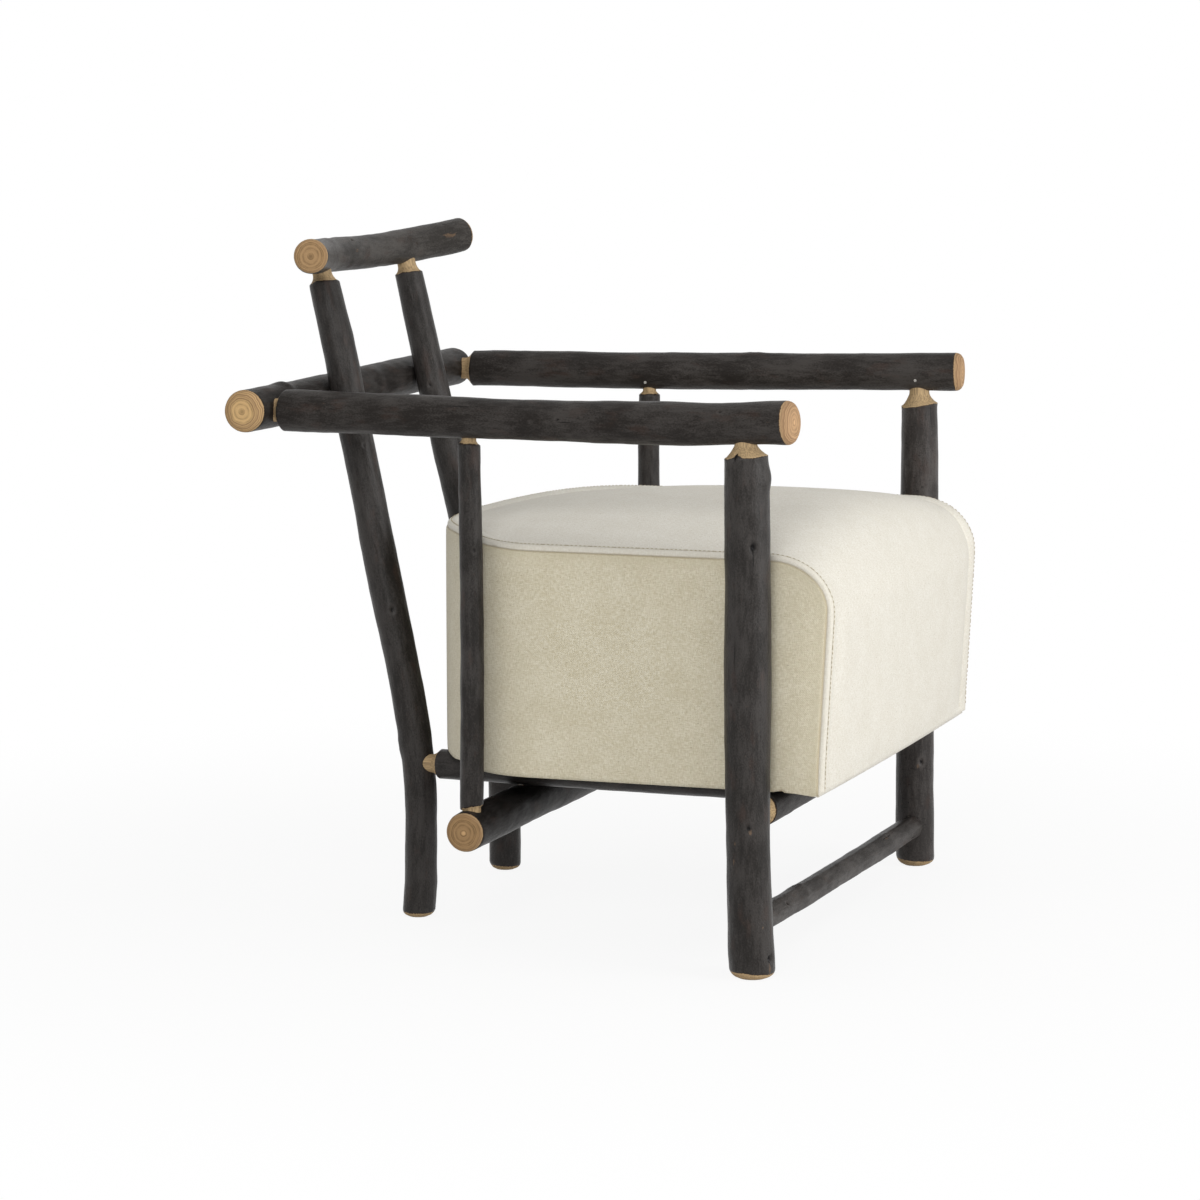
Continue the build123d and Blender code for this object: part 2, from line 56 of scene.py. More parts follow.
FLOOR_GLOW, GLOW_GROWS, GLOW_FULL = 0.90, 0.45, 1.5
ROOM_WHITE, ROOM_LIGHT = (1.0, 0.995, 0.98, 1), 0.41


class Thread:
    """A number, colour or vector on its way through a finish's nodes."""

    def __init__(self, finish, socket):
        self.finish, self.socket = finish, socket

    def sum_up(self, operation, first, second):
        return self.finish.node("ShaderNodeMath", {"operation": operation}, {0: first, 1: second})

    def __add__(self, other):
        return self.sum_up("ADD", self, other)

    __radd__ = __add__

    def __sub__(self, other):
        return self.sum_up("SUBTRACT", self, other)

    def __rsub__(self, other):
        return self.sum_up("SUBTRACT", other, self)

    def __mul__(self, other):
        return self.sum_up("MULTIPLY", self, other)

    __rmul__ = __mul__


class Finish:
    """A finish being mixed, for one kind of surface or for the room round the chair."""

    def __init__(self, name, room=False):
        self.owner = bpy.data.worlds.new(name) if room else bpy.data.materials.new(name)
        self.output = "ShaderNodeOutputWorld" if room else "ShaderNodeOutputMaterial"
        self.owner.use_nodes = True
        self.tree = self.owner.node_tree
        self.tree.nodes.clear()

    def node(self, kind, settings, sockets, output=0):
        """Adds a node: its settings first, then the values or threads of its sockets."""
        made = self.tree.nodes.new(kind)
        for name, value in settings.items():
            setattr(made, name, value)
        for name, value in sockets.items():
            if isinstance(value, Thread):
                self.tree.links.new(value.socket, made.inputs[name])
            else:
                made.inputs[name].default_value = value
        return Thread(self, made.outputs[output])

    def attribute(self, name, output="Fac"):
        return self.node("ShaderNodeAttribute", {"attribute_name": name}, {}, output)

    def own_place(self):
        """The shaded point's place in the piece's own space."""
        return self.node("ShaderNodeTexCoord", {}, {}, "Object")

    def length(self, vector):
        return self.node("ShaderNodeVectorMath", {"operation": "LENGTH"}, {0: vector}, "Value")

    def sine(self, angle):
        return self.node("ShaderNodeMath", {"operation": "SINE"}, {0: angle})

    def stretched(self, vector, scale):
        """The vector with each axis multiplied, which draws a pattern out along the small ones."""
        return self.node("ShaderNodeVectorMath", {"operation": "MULTIPLY"}, {0: vector, 1: scale})

    def noise(self, vector, scale, detail=2.0, roughness=0.5, stretch=None):
        """Soft noise from 0 to 1, on a vector that is stretched first where a stretch is given."""
        if stretch:
            vector = self.stretched(vector, stretch)
        sockets = {"Vector": vector, "Scale": scale, "Detail": detail, "Roughness": roughness}
        return self.node("ShaderNodeTexNoise", {}, sockets, "Fac")

    def ramp(self, value, low, high):
        """0 below low, 1 above high, and a smooth rise between them."""
        settings = {"interpolation_type": "SMOOTHSTEP"}
        return self.node("ShaderNodeMapRange", settings, {"Value": value, "From Min": low, "From Max": high})

    def mix(self, share, first, second):
        """One colour turning into another as share goes from 0 to 1."""
        first = first if isinstance(first, Thread) else (*first, 1)
        second = second if isinstance(second, Thread) else (*second, 1)
        return self.node("ShaderNodeMix", {"data_type": "RGBA"}, {0: share, 6: first, 7: second}, 2)

    def blend(self, share, first, second):
        """One shader turning into another as share goes from 0 to 1."""
        return self.node("ShaderNodeMixShader", {}, {0: share, 1: first, 2: second})

    def plain_share(self, seen=1):
        """The share of plain white a ray finds: all in a mirror or through glass, else seen if direct."""
        camera, mirror, glass = (
            self.node("ShaderNodeLightPath", {}, {}, f"Is {kind} Ray")
            for kind in ("Camera", "Glossy", "Transmission")
        )
        return camera * seen + mirror + glass

    def bump(self, height, depth):
        """Surface relief of that depth in metres where height goes from 0 to 1."""
        return self.node("ShaderNodeBump", {}, {"Strength": 1.0, "Distance": depth, "Height": height})

    def end_in(self, shader):
        """Ties a shader to the finish's output."""
        end = self.tree.nodes.new(self.output)
        self.tree.links.new(shader.socket, end.inputs["Surface"])
        return self.owner

    def surface(self, **sockets):
        """Ends the finish in one Principled shader with these sockets."""
        named = {name.replace("_", " "): value for name, value in sockets.items()}
        return self.end_in(self.node("ShaderNodeBsdfPrincipled", {}, named))


def deselect():
    bpy.ops.object.select_all(action="DESELECT")


deselect()
bpy.ops.mesh.primitive_plane_add(size=2 * FLOOR_HALF, location=(0, 0, 0))
floor = bpy.context.object
floor.name = "floor"
white = Finish("white_floor")
paper = white.node("ShaderNodeBsdfDiffuse", {}, {"Color": FLOOR_PAPER})
glow = white.node("ShaderNodeEmission", {}, {"Color": WHITE, "Strength": 1.0})
far_out = white.ramp(white.length(white.own_place()), GLOW_GROWS, GLOW_FULL)
glow_share = white.plain_share(FLOOR_GLOW + (1 - FLOOR_GLOW) * far_out)
floor.data.materials.append(white.end_in(white.blend(glow_share, paper, glow)))

room = Finish("white_room", room=True)
lit = room.node("ShaderNodeBackground", {}, {"Color": ROOM_WHITE, "Strength": ROOM_LIGHT})
plain = room.node("ShaderNodeBackground", {}, {"Color": WHITE, "Strength": 1.0})
bpy.context.scene.world = room.end_in(room.blend(room.plain_share(), lit, plain))


def soft_box(name, place, aim, width, height, power):
    deselect()
    bpy.ops.object.light_add(type="AREA", location=place)
    lamp = bpy.context.object
    lamp.name = name
    lamp.data.shape = "RECTANGLE"
    lamp.data.size, lamp.data.size_y = width, height
    lamp.data.energy = power
    lamp.rotation_euler = (Vector(aim) - Vector(place)).to_track_quat("-Z", "Y").to_euler()


soft_box("front_soft_box", (-0.55, -3.3, 1.0), (0, 0, 0.4), 1.9, 1.6, 61)
soft_box("side_soft_box", (-3.1, -0.7, 1.7), (0, 0, 0.4), 0.8, 0.8, 33)
soft_box("top_soft_box", (-0.2, 0.2, 3.4), (0, 0, 0.3), 3.0, 3.0, 22)

deselect()
bpy.ops.object.camera_add(location=CAMERA_PLACE)
camera = bpy.context.object
back = Vector((sin(CAMERA_TURN) * cos(CAMERA_RISE), -cos(CAMERA_TURN) * cos(CAMERA_RISE), sin(CAMERA_RISE)))
look = (-back).to_track_quat("-Z", "Y") @ Matrix.Rotation(CAMERA_ROLL, 3, "Z").to_quaternion()
camera.rotation_euler = look.to_euler()
camera.data.lens, camera.data.sensor_width = CAMERA_LENS, CAMERA_SENSOR
bpy.context.scene.camera = camera
bpy.context.scene.view_settings.view_transform = "Standard"

# --- Front legs -----------------------------------------------------------------------------
# The two thickest logs, sawn flat at the floor with an eased edge. The top of each is whittled
# down to a cone and a 24 mm tenon that is driven up into the arm.
X_AXIS, Y_AXIS, Z_AXIS = 0, 1, 2
RING_GAP, END_RINGS = 0.0022, (0.10, 0.20, 0.22, 0.22, 0.14)  # END_RINGS are shares of the radius
RIM_SHARE, RIM_PERCENTILE = 0.92, 92  # which of a CAD log's points lie on its rim
BARK_STEP, BARK_THINS = 0.0014, 0.004  # a cone begins that far under the bark, which thins to its edge
CONE_HOLLOW, SAWN_BEYOND, EDGE_CURVE = 0.0009, 0.004, 0.92
RAGGED_REACH, RAGGED_WAVES, RAGGED_SHARE = 0.012, (2, 3, 5, 8), 0.25  # the bark's torn edge
FACET_TURN, FACET_SHARE = 0.3, 0.65  # a planed stick's flats
KNOT_SHAPE, KNOT_EYE, KNOT_SWELLING = (1, 1, 0.65), 0.003, 0.012
PIT_EDGE, PIT_DEPTH = 0.0002, 1.9  # PIT_DEPTH is a multiple of the hole's size
KNOTLESS, CLEFT_HALF_LENGTH = 0.03, 0.03
GRAIN_SHIFT, CLOUD_SHIFT = 1.7, (0.371, 0.173, 0.257)  # per seed, so that no two logs are alike
BARK_DARK, BARK_LIGHT = (0.0165, 0.0143, 0.0128), (0.044, 0.0395, 0.037)
RUSTY_BARK, SCUFFED_BARK, SCRAPED_BARK = (0.058, 0.034, 0.026), (0.135, 0.092, 0.068), (0.22, 0.14, 0.085)
# The checks' colour is painted shade in the bark's fine cracks.
INNER_BARK, BARK_CHECK_SHADE = (0.060, 0.033, 0.018), (0.006, 0.005, 0.005)
PALE_WOOD, WEATHERED_WOOD = (0.52, 0.37, 0.205), (0.27, 0.17, 0.095)
# The knot's eye colour is dark knot wood with painted shade of its hole; the crack colour is painted shade.
KNOT_WOOD_AND_HOLE_SHADE, CRACK_SHADE = (0.005, 0.004, 0.004), (0.004, 0.004, 0.004)
CRACK_REACH, CRACK_HALF_WIDTH = 0.010, 0.0006


def sawn(back, rounded, inward, slant=0.0008, lean=None, aged=1.0):
    """A log's sawn end: bare that far back, and rounded from farther back to inward of the bark."""
    return {"bare": back, "tenon": 0.0, "slant": slant, "lean": lean,
            "rounded": rounded, "inward": inward, "aged": aged}


def whittled(cone, radius, tenon, slant=0.0022, lean=None):
    """A log's whittled end: a cone of that length, down to a tenon of that radius and length."""
    return {"bare": cone + tenon, "tenon": tenon, "slant": slant, "lean": lean, "radius": radius}


def unit(ways):
    """Rows of vectors, each brought to a length of one."""
    return ways / np.linalg.norm(ways, axis=1)[:, None]


def run_along(line):
    """How far along a line each of its points lies."""
    return np.r_[0, np.cumsum(np.linalg.norm(np.diff(line, axis=0), axis=1))]


def follow(line, run, at):
    """The points of a line at those distances along it."""
    return np.stack([np.interp(at, run, column) for column in line.T], axis=-1)


def middle_line(node, axis, low_end, high_end, stations=26, reach=0.004, margin=0.006, rounds=3):
    """Middle, heading and radius of a CAD log from end to end, by circles fitted across it."""
    points = np.array([v.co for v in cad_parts[node].data.vertices])
    low = points[:, axis].min() + low_end["bare"] + margin
    high = points[:, axis].max() - high_end["bare"] - margin
    middles = np.zeros((stations, 3))
    for i, place in enumerate(np.linspace(low, high, stations)):
        slab = points[np.abs(points[:, axis] - place) < reach]
        middles[i] = (slab.min(0) + slab.max(0)) / 2
        middles[i, axis] = place
    sizes = np.zeros(stations)
    for _ in range(rounds):
        ahead = unit(np.gradient(middles, axis=0))
        for i in range(stations):
            across, upward = cross_axes(ahead[i], axis)
            offset = points - middles[i]
            ring = offset[np.abs(offset @ ahead[i]) < reach]
            u, v = ring @ across, ring @ upward
            distance = np.hypot(u, v)
            rim = distance > RIM_SHARE * np.percentile(distance, RIM_PERCENTILE)
            u, v = u[rim], v[rim]
            fit = np.linalg.lstsq(np.c_[2 * u, 2 * v, np.ones(len(u))], u**2 + v**2, rcond=None)[0]
            middles[i] += fit[0] * across + fit[1] * upward
            sizes[i] = np.sqrt(fit[2] + fit[0] ** 2 + fit[1] ** 2)
    first = middles[0] + ahead[0] * ((points - middles[0]) @ ahead[0]).min()
    last = middles[-1] + ahead[-1] * ((points - middles[-1]) @ ahead[-1]).max()
    middles = np.vstack([first, middles, last])
    ahead = np.vstack([ahead[0], ahead, ahead[-1]])
    if axis == Z_AXIS and not low_end["tenon"]:
        middles[0, 2] = 0.0
        ahead[0] = (0, 0, 1)
    sizes = np.r_[sizes[0], sizes, sizes[-1]]
    return middles, ahead, sizes, run_along(middles)


def cross_axes(ahead, axis):
    """Two directions square to a log's heading, the first as near as can be to the next axis."""
    upward = np.cross(ahead, np.eye(3)[(axis + 1) % 3])
    upward /= np.linalg.norm(upward)
    return np.cross(upward, ahead), upward


def pick(piece, kind, test):
    """Selects, in edit mode, the edges or faces of a piece that pass a test."""
    mesh = bmesh.from_edit_mesh(piece.data)
    for face in mesh.faces:
        face.select = False
    for part in getattr(mesh, kind):
        part.select = test(part)
    bmesh.update_edit_mesh(piece.data)


def take(piece):
    """Selects one piece alone and makes it the active one."""
    deselect()
    piece.select_set(True)
    bpy.context.view_layer.objects.active = piece


def apply_all(piece):
    """Makes a piece's modifiers part of its mesh."""
    bpy.context.view_layer.objects.active = piece
    for modifier in list(piece.modifiers):
        bpy.ops.object.modifier_apply(modifier=modifier.name)


def fetch(data, field, width=1):
    """One number, or a row of width numbers, for each entry of a mesh's data."""
    values = np.zeros(len(data) * width, np.float32)
    data.foreach_get(field, values)
    return values.reshape(-1, width) if width > 1 else values


def note(piece, name, values):
    """Writes one number or vector for each vertex into a named attribute of the piece."""
    kind, field = ("FLOAT_VECTOR", "vector") if np.ndim(values) == 2 else ("FLOAT", "value")
    attribute = piece.data.attributes.new(name, kind, "POINT")
    attribute.data.foreach_set(field, np.asarray(values, np.float32).ravel())


def places(piece):
    """Where a piece's vertices are."""
    return fetch(piece.data.vertices, "co", 3).astype(float)


def put(piece, values):
    """Moves a piece's vertices to these places."""
    piece.data.vertices.foreach_set("co", np.asarray(values, np.float32).ravel())
    piece.data.update()


def relief(piece, name, grain_size, depth, stretch, seed):
    """Raises and lowers the bark with clouds drawn out along the log, and applies it."""
    clouds = bpy.data.textures.new(name, "CLOUDS")
    clouds.noise_scale = grain_size
    clouds.noise_depth = 2
    deselect()
    bpy.ops.object.empty_add(location=[seed * shift for shift in CLOUD_SHIFT])
    ruler = bpy.context.object
    ruler.scale = (1, 1, stretch)
    bpy.context.view_layer.update()
    raised = piece.modifiers.new(name, "DISPLACE")
    raised.texture = clouds
    raised.texture_coords = "OBJECT"
    raised.texture_coords_object = ruler
    raised.strength = depth
    raised.mid_level = 0.5
    raised.vertex_group = "bark"
    apply_all(piece)
    bpy.data.objects.remove(ruler)


def log_blank(name, length, radius, around):
    """A round blank about the origin and along Z, cut into fine rings, its ends too."""
    deselect()
    bpy.ops.mesh.primitive_cylinder_add(vertices=around, radius=radius, depth=length, location=(0, 0, 0))
    blank = bpy.context.object
    blank.name = name
    bpy.ops.object.mode_set(mode="EDIT")
    cuts = round((length / RING_GAP) ** 0.5) - 1
    for _ in range(2):
        pick(blank, "edges", lambda edge: abs(edge.verts[0].co.z - edge.verts[1].co.z) > 1e-4)
        bpy.ops.mesh.subdivide(number_cuts=cuts)
    bpy.ops.mesh.select_mode(type="FACE")
    pick(blank, "faces", lambda face: len(face.verts) > 4)
    for share in END_RINGS:
        bpy.ops.mesh.inset(thickness=share * radius)
    bpy.ops.mesh.poke()
    bpy.ops.object.mode_set(mode="OBJECT")
    return blank


def cut_ends(z, turn, size, length, low_end, high_end, rng):
    """Cuts both ends: places along the log, radii, distances inside the bark's edge, sawn shares.

    With the same end at both sides, the bark's ragged edges are both shifted up the log.
    """
    bark = np.full(len(z), 1.0)
    sawn_off = np.zeros(len(z))
    for end, out in ((low_end, z), (high_end, length - z)):
        lean = rng.uniform(0, tau) if end["lean"] is None else radians(end["lean"])
        ragged = end["slant"] * np.cos(turn - lean)
        for waves in RAGGED_WAVES:
            wave = np.cos(waves * turn + rng.uniform(0, tau))
            ragged += RAGGED_SHARE * end["slant"] * wave / waves**0.4
        near = np.clip(1 - np.abs(out - end["bare"]) / RAGGED_REACH, 0, 1)
        shift = ragged * near * (3 - 2 * near) * near * np.clip(out / end["bare"], 0, 1)
        z = z + shift if end is low_end else z - shift
        bark = np.minimum(bark, out - end["bare"])
        if end["tenon"]:
            up = np.clip((out - end["tenon"]) / (end["bare"] - end["tenon"]), 0, 1)
            slope = end["radius"] + (size - BARK_STEP - end["radius"]) * up - CONE_HOLLOW * np.sin(pi * up)
            size = np.where(out < end["bare"] - 1e-4, slope, size)
        else:
            up = np.clip(1 - out / end["rounded"], 0, 1)
            fall = (1 - np.sqrt(1 - EDGE_CURVE * up**2)) / (1 - (1 - EDGE_CURVE) ** 0.5)
            size = size - end["inward"] * fall
            sawn_off = np.maximum(sawn_off, end["aged"] * (out < end["bare"] + SAWN_BEYOND))
    return z, size, bark, sawn_off


def log(node, finish, axis, low_end, high_end, seed, knots=(), scrapes=(), clefts=(), around=84, facets=0):
    """A straight log with its ends, bark, knots and scrapes, bent to lie where the CAD log is.

    A knot is a place along the log, an angle round it in degrees, the height of its swelling and
    the size of its hole. A scrape is a place, an angle and its half length and half width. A cleft
    is where the bark runs out over the whittled wood: a place, an angle, its width and its reach.
    """
    middles, ahead, sizes, run = middle_line(node, axis, low_end, high_end)
    length, radius = run[-1], sizes.mean()
    piece = log_blank(node + "_log", length, radius, around)
    straight = places(piece)
    straight[:, 2] += length / 2
    x, y, z = straight.T
    turn = np.arctan2(y, x)
    size = np.interp(z, run, sizes)
    if facets:
        step = tau / facets
        flat = cos(step / 2) / np.cos((turn + FACET_TURN) % step - step / 2)
        size = size * (1 - FACET_SHARE + FACET_SHARE * flat)
    rng = np.random.default_rng(seed)
    z, size, bark, sawn_off = cut_ends(z, turn, size, length, low_end, high_end, rng)
    scale = size / radius
    straight = np.c_[x * scale, y * scale, z]

    def on_bark(place, angle, out=radius):
        """The point at that place and angle, out from the log's middle, or one for each of many outs."""
        return np.stack([out * cos(radians(angle)), out * sin(radians(angle)), place + 0 * out], axis=-1)

    def from_knot(place, angle, height):
        """A knot with no swelling may sit on a whittled end, so it follows that end's own radius."""
        out = np.linalg.norm(straight[:, :2], axis=1)
        return straight - on_bark(place, angle, out if height == 0 else radius)

    for place, angle, width, reach in clefts:
        across = np.linalg.norm((straight - on_bark(place, angle))[:, :2], axis=1) / width
        bark = bark + reach * np.exp(-across**2) * (np.abs(z - place) < CLEFT_HALF_LENGTH)
    nearest = np.full(len(z), KNOTLESS)
    for place, angle, height, hole in knots:
        far = np.linalg.norm(from_knot(place, angle, height) * KNOT_SHAPE, axis=1)
        nearest = np.minimum(nearest, far * (KNOT_EYE / hole))
    scraped = np.zeros(len(z))
    for place, angle, half_length, half_width in scrapes:
        far = straight - on_bark(place, angle)
        spread = (far[:, 2] / half_length) ** 2 + (far[:, 0] ** 2 + far[:, 1] ** 2) / half_width**2
        scraped = np.maximum(scraped, np.exp(-spread))
    put(piece, straight)
    note(piece, "grain", straight + (0, 0, GRAIN_SHIFT * seed))
    note(piece, "bark", bark)
    note(piece, "knot", nearest)
    note(piece, "scraped", scraped)
    note(piece, "sawn", sawn_off)
    barked = piece.vertex_groups.new(name="bark")
    for i in np.flatnonzero(bark > 0):
        barked.add([int(i)], min(1.0, bark[i] / BARK_THINS), "REPLACE")
    relief(piece, "swellings", 0.040, 0.0017, 1.3, seed)
    relief(piece, "ridges", 0.0070, 0.0006, 4.0, seed + 3)
    straight = places(piece)
    for place, angle, height, hole in knots:
        far = from_knot(place, angle, height)
        lump = np.exp(-((np.linalg.norm(far, axis=1) / KNOT_SWELLING) ** 2))
        pit = np.exp(-((np.linalg.norm(far * KNOT_SHAPE, axis=1) / (PIT_EDGE + hole)) ** 2))
        rise = height * lump - PIT_DEPTH * hole * pit
        outward = straight * (1, 1, 0)
        outward /= np.maximum(np.linalg.norm(outward, axis=1), 1e-6)[:, None]
        straight += outward * rise[:, None]

    x, y, z = straight.T
    axes = np.array([cross_axes(way, axis) for way in ahead])
    bent = follow(middles, run, z)
    bent += x[:, None] * follow(axes[:, 0], run, z) + y[:, None] * follow(axes[:, 1], run, z)
    put(piece, bent)
    take(piece)
    bpy.ops.object.shade_smooth()
    piece.vertex_groups.clear()
    piece.data.materials.append(finish)
    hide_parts(node)
    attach(piece, "root")
    return piece


def ring_noise(finish, out, gap, detail=1.0):
    """Uneven rings about a log's middle, roughly that far apart."""
    settings, sockets = {"noise_dimensions": "1D"}, {"W": out, "Scale": 1 / gap, "Detail": detail}
    return finish.node("ShaderNodeTexNoise", settings, sockets, "Fac")


def barked_log(
    name, wood, dark=BARK_DARK, light=BARK_LIGHT, gloss=0.16, lenticels=0.0, pith=0.5, heart=0.0165,
    crack=None,
):
    """Bark with ridges, freckles and knots, and bare wood with growth rings at the sawn ends.

    The pith's brightness is a multiple of the wood's, and the heart's radius is in metres. A crack
    is an angle round the log, its middle in the grain's own measure, its half length and radius.
    """
    finish = Finish(name)
    grain = finish.attribute("grain", "Vector")
    streaks = finish.noise(grain, 230, 3, 0.6, stretch=(1, 1, 0.22))
    wide = finish.noise(grain, 34, 2, stretch=(1, 1, 0.55))
    fine = finish.noise(grain, 800, 2, 0.6, stretch=(1, 1, 0.6))
    tone = finish.ramp(0.30 * streaks + 0.40 * wide + 0.30 * fine, 0.40, 0.61)
    skin = finish.mix(tone, dark, light)
    rusty = finish.ramp(finish.noise(grain, 60, 3, 0.6, stretch=(1, 1, 0.4)), 0.54, 0.74)
    skin = finish.mix(0.35 * rusty, skin, RUSTY_BARK)
    dashes = finish.ramp(finish.noise(grain, 420, 1, stretch=(0.35, 0.35, 1.6)), 0.66, 0.72)
    skin = finish.mix(lenticels * dashes, skin, tuple(0.4 * c for c in dark))
    # Painted shade: the bark's fine checks are coloured near black for the shade inside them, and lowered in
    # the bump.
    checks = finish.ramp(finish.noise(grain, 240, 1, stretch=(1, 1, 0.05)), 0.755, 0.785)
    skin = finish.mix(0.8 * checks, skin, BARK_CHECK_SHADE)
    scuffs = finish.ramp(finish.noise(grain, 230, 4, 0.75, stretch=(1, 1, 0.6)), 0.66, 0.77)
    skin = finish.mix(0.55 * scuffs, skin, SCUFFED_BARK)
    eye = finish.attribute("knot") + 0.0022 * (finish.noise(grain, 320, 2) - 0.5)
    halo = finish.ramp(eye, 0.0034, 0.0062) * (1 - finish.ramp(eye, 0.0062, 0.0115))
    skin = finish.mix(0.25 * halo, skin, tuple(1.6 * c for c in light))
    fringe = finish.noise(grain, 420, 3, 0.7, stretch=(1, 1, 0.25)) - 0.5
    torn = finish.ramp(finish.attribute("scraped") + 2.2 * fringe, 0.50, 0.95)
    skin = finish.mix(0.45 * torn, skin, SCRAPED_BARK)

    cross = finish.stretched(grain, (1, 1, 0))
    wobble = finish.noise(grain, 70, 2, stretch=(1, 1, 0.15)) - 0.5
    out = finish.length(cross) + 0.0046 * wobble
    rings = finish.ramp(ring_noise(finish, out, 0.0019, 2.0), 0.42, 0.60)
    hairlines = finish.ramp(ring_noise(finish, out + 0.3, 0.0009), 0.48, 0.64)
    patchy = finish.ramp(finish.noise(cross, 95, 2), 0.34, 0.66)
    fibres = finish.noise(grain, 800, 3, 0.65, stretch=(1, 1, 0.06))
    speckle = finish.noise(cross, 1100, 2, 0.6)
    sawn_off = finish.attribute("sawn")
    on_end = (0.32 + 0.40 * patchy) * rings + 0.26 * hairlines
    on_side = 0.80 * finish.ramp(fibres, 0.40, 0.64)
    age = sawn_off * on_end + (1 - sawn_off) * on_side + 0.50 * (speckle - 0.5)
    bare = finish.mix(sawn_off, PALE_WOOD, wood)
    bare = finish.mix(age, bare, tuple(0.44 * c for c in wood))
    outer = finish.ramp(out, heart - 0.0010, heart + 0.0010)
    bare = finish.mix((0.30 + 0.50 * rings + 0.35 * hairlines) * sawn_off * outer, bare, WEATHERED_WOOD)
    bare = finish.mix(0.7 * (1 - finish.ramp(out, 0.0008, 0.0034)), bare, tuple(pith * c for c in wood))
    edge = finish.attribute("bark") + 0.0024 * (finish.noise(grain, 560, 3, 0.6) - 0.5)
    bare = finish.mix(0.45 * finish.ramp(edge, -0.0018, -0.0007), bare, PALE_WOOD)

    barked = finish.ramp(edge, -0.0002, 0.0003)
    skin = finish.mix(0.8 * (1 - finish.ramp(edge, 0.0003, 0.0011)), skin, INNER_BARK)
    colour = finish.mix(barked, bare, skin)
    # The knot's eye: dark knot wood and painted shade of the hole, near black.
    colour = finish.mix(1 - finish.ramp(eye, 0.0020, 0.0034), colour, KNOT_WOOD_AND_HOLE_SHADE)
    height = barked * (0.50 * streaks + 0.30 * fine - 0.4 * checks)
    height = height + (1 - barked) * (0.12 * fibres + 0.10 * rings)
    if crack:
        angle, middle, half_length, radius = crack
        sockets = {"Vector": grain, "Angle": -radians(angle)}
        turned = finish.node("ShaderNodeVectorRotate", {"rotation_type": "Z_AXIS"}, sockets)
        sockets = {0: turned, 1: (radius, 0, middle)}
        turned = finish.node("ShaderNodeVectorMath", {"operation": "SUBTRACT"}, sockets)
        turned = finish.stretched(turned, (1 / CRACK_REACH, 1 / CRACK_HALF_WIDTH, 1 / half_length))
        # Painted shade: the crack is coloured near black for the shade inside it, and lowered in the bump.
        split = 1 - finish.ramp(finish.length(turned), 0.6, 1.0)
        colour = finish.mix(split, colour, CRACK_SHADE)
        height = height - 0.8 * split
    return finish.surface(
        Base_Color=colour,
        Roughness=0.66 + barked * (0.22 * (fine - 0.5) - 0.29),
        Specular_IOR_Level=gloss,
        Normal=finish.bump(height, 0.0011),
    )


LEG_FOOT = sawn(0.0072, 0.0110, 0.0100, slant=0.0016, lean=120, aged=0.25)
LEG_TOP = whittled(0.013, 0.012, 0.022)
NEAR_LEG_SEED = 11
LEG_CRACK = (211, 0.460 + GRAIN_SHIFT * NEAR_LEG_SEED, 0.011, 0.0245)
cracked_bark = barked_log("cracked_bark", PALE_WOOD, crack=LEG_CRACK)
freckled_bark = barked_log(
    "freckled_bark", PALE_WOOD, (0.028, 0.024, 0.022), (0.068, 0.060, 0.056), lenticels=0.8
)
log(
    "front_leg_right", cracked_bark, Z_AXIS, LEG_FOOT, LEG_TOP, NEAR_LEG_SEED,
    knots=[(0.472, 211, 0.0009, 0.0028), (0.302, 155, 0.0012, 0.0014), (0.168, 199, 0.0012, 0.0022),
           (0.022, 251, 0.0014, 0.0028), (0.39, 40, 0.0012, 0.0024), (0.21, 320, 0.0011, 0.0020),
           (0.5447, 273, 0.0030, 0.0004), (0.5685, 163, 0, 0.0023)],
    scrapes=[(0.164, 203, 0.004, 0.003), (0.150, 160, 0.006, 0.002), (0.131, 156, 0.005, 0.0018),
             (0.058, 231, 0.003, 0.0018), (0.013, 247, 0.009, 0.003)],
    clefts=[(0.567, 171, 0.0038, 0.0135)],
)
log(
    "front_leg_left", freckled_bark, Z_AXIS, LEG_FOOT, LEG_TOP, 12,
    knots=[(0.44, 150, 0.0010, 0.0014), (0.13, 215, 0.0012, 0.0018), (0.30, 20, 0.0012, 0.0022)],
    scrapes=[(0.125, 205, 0.005, 0.002)],
)

# --- Rear posts -----------------------------------------------------------------------------
# Two naturally bent logs. Each stands on its sawn foot, leans back past the back rail and ends
# in a short cone and a tenon in the crest rail.
POST_FOOT = sawn(0.0055, 0.0090, 0.0080, aged=0.25)
POST_TOP = whittled(0.0095, 0.011, 0.022)
POST_KNOTS = {
    "right": [(0.202, 113, 0.0018, 0.0016), (0.549, 222, 0.0015, 0.0010), (0.358, 206, 0.0013, 0.0018),
              (0.62, 30, 0.0013, 0.0020)],
    "left": [(0.60, 190, 0.0012, 0.0014), (0.40, 330, 0.0014, 0.0020), (0.17, 200, 0.0012, 0.0016)],
}
charcoal_bark = barked_log("charcoal_bark", PALE_WOOD)
for side, seed in (("right", 21), ("left", 22)):
    log(
        f"rear_post_{side}", charcoal_bark, Z_AXIS, POST_FOOT, POST_TOP, seed,
        knots=POST_KNOTS[side], around=68,
    )

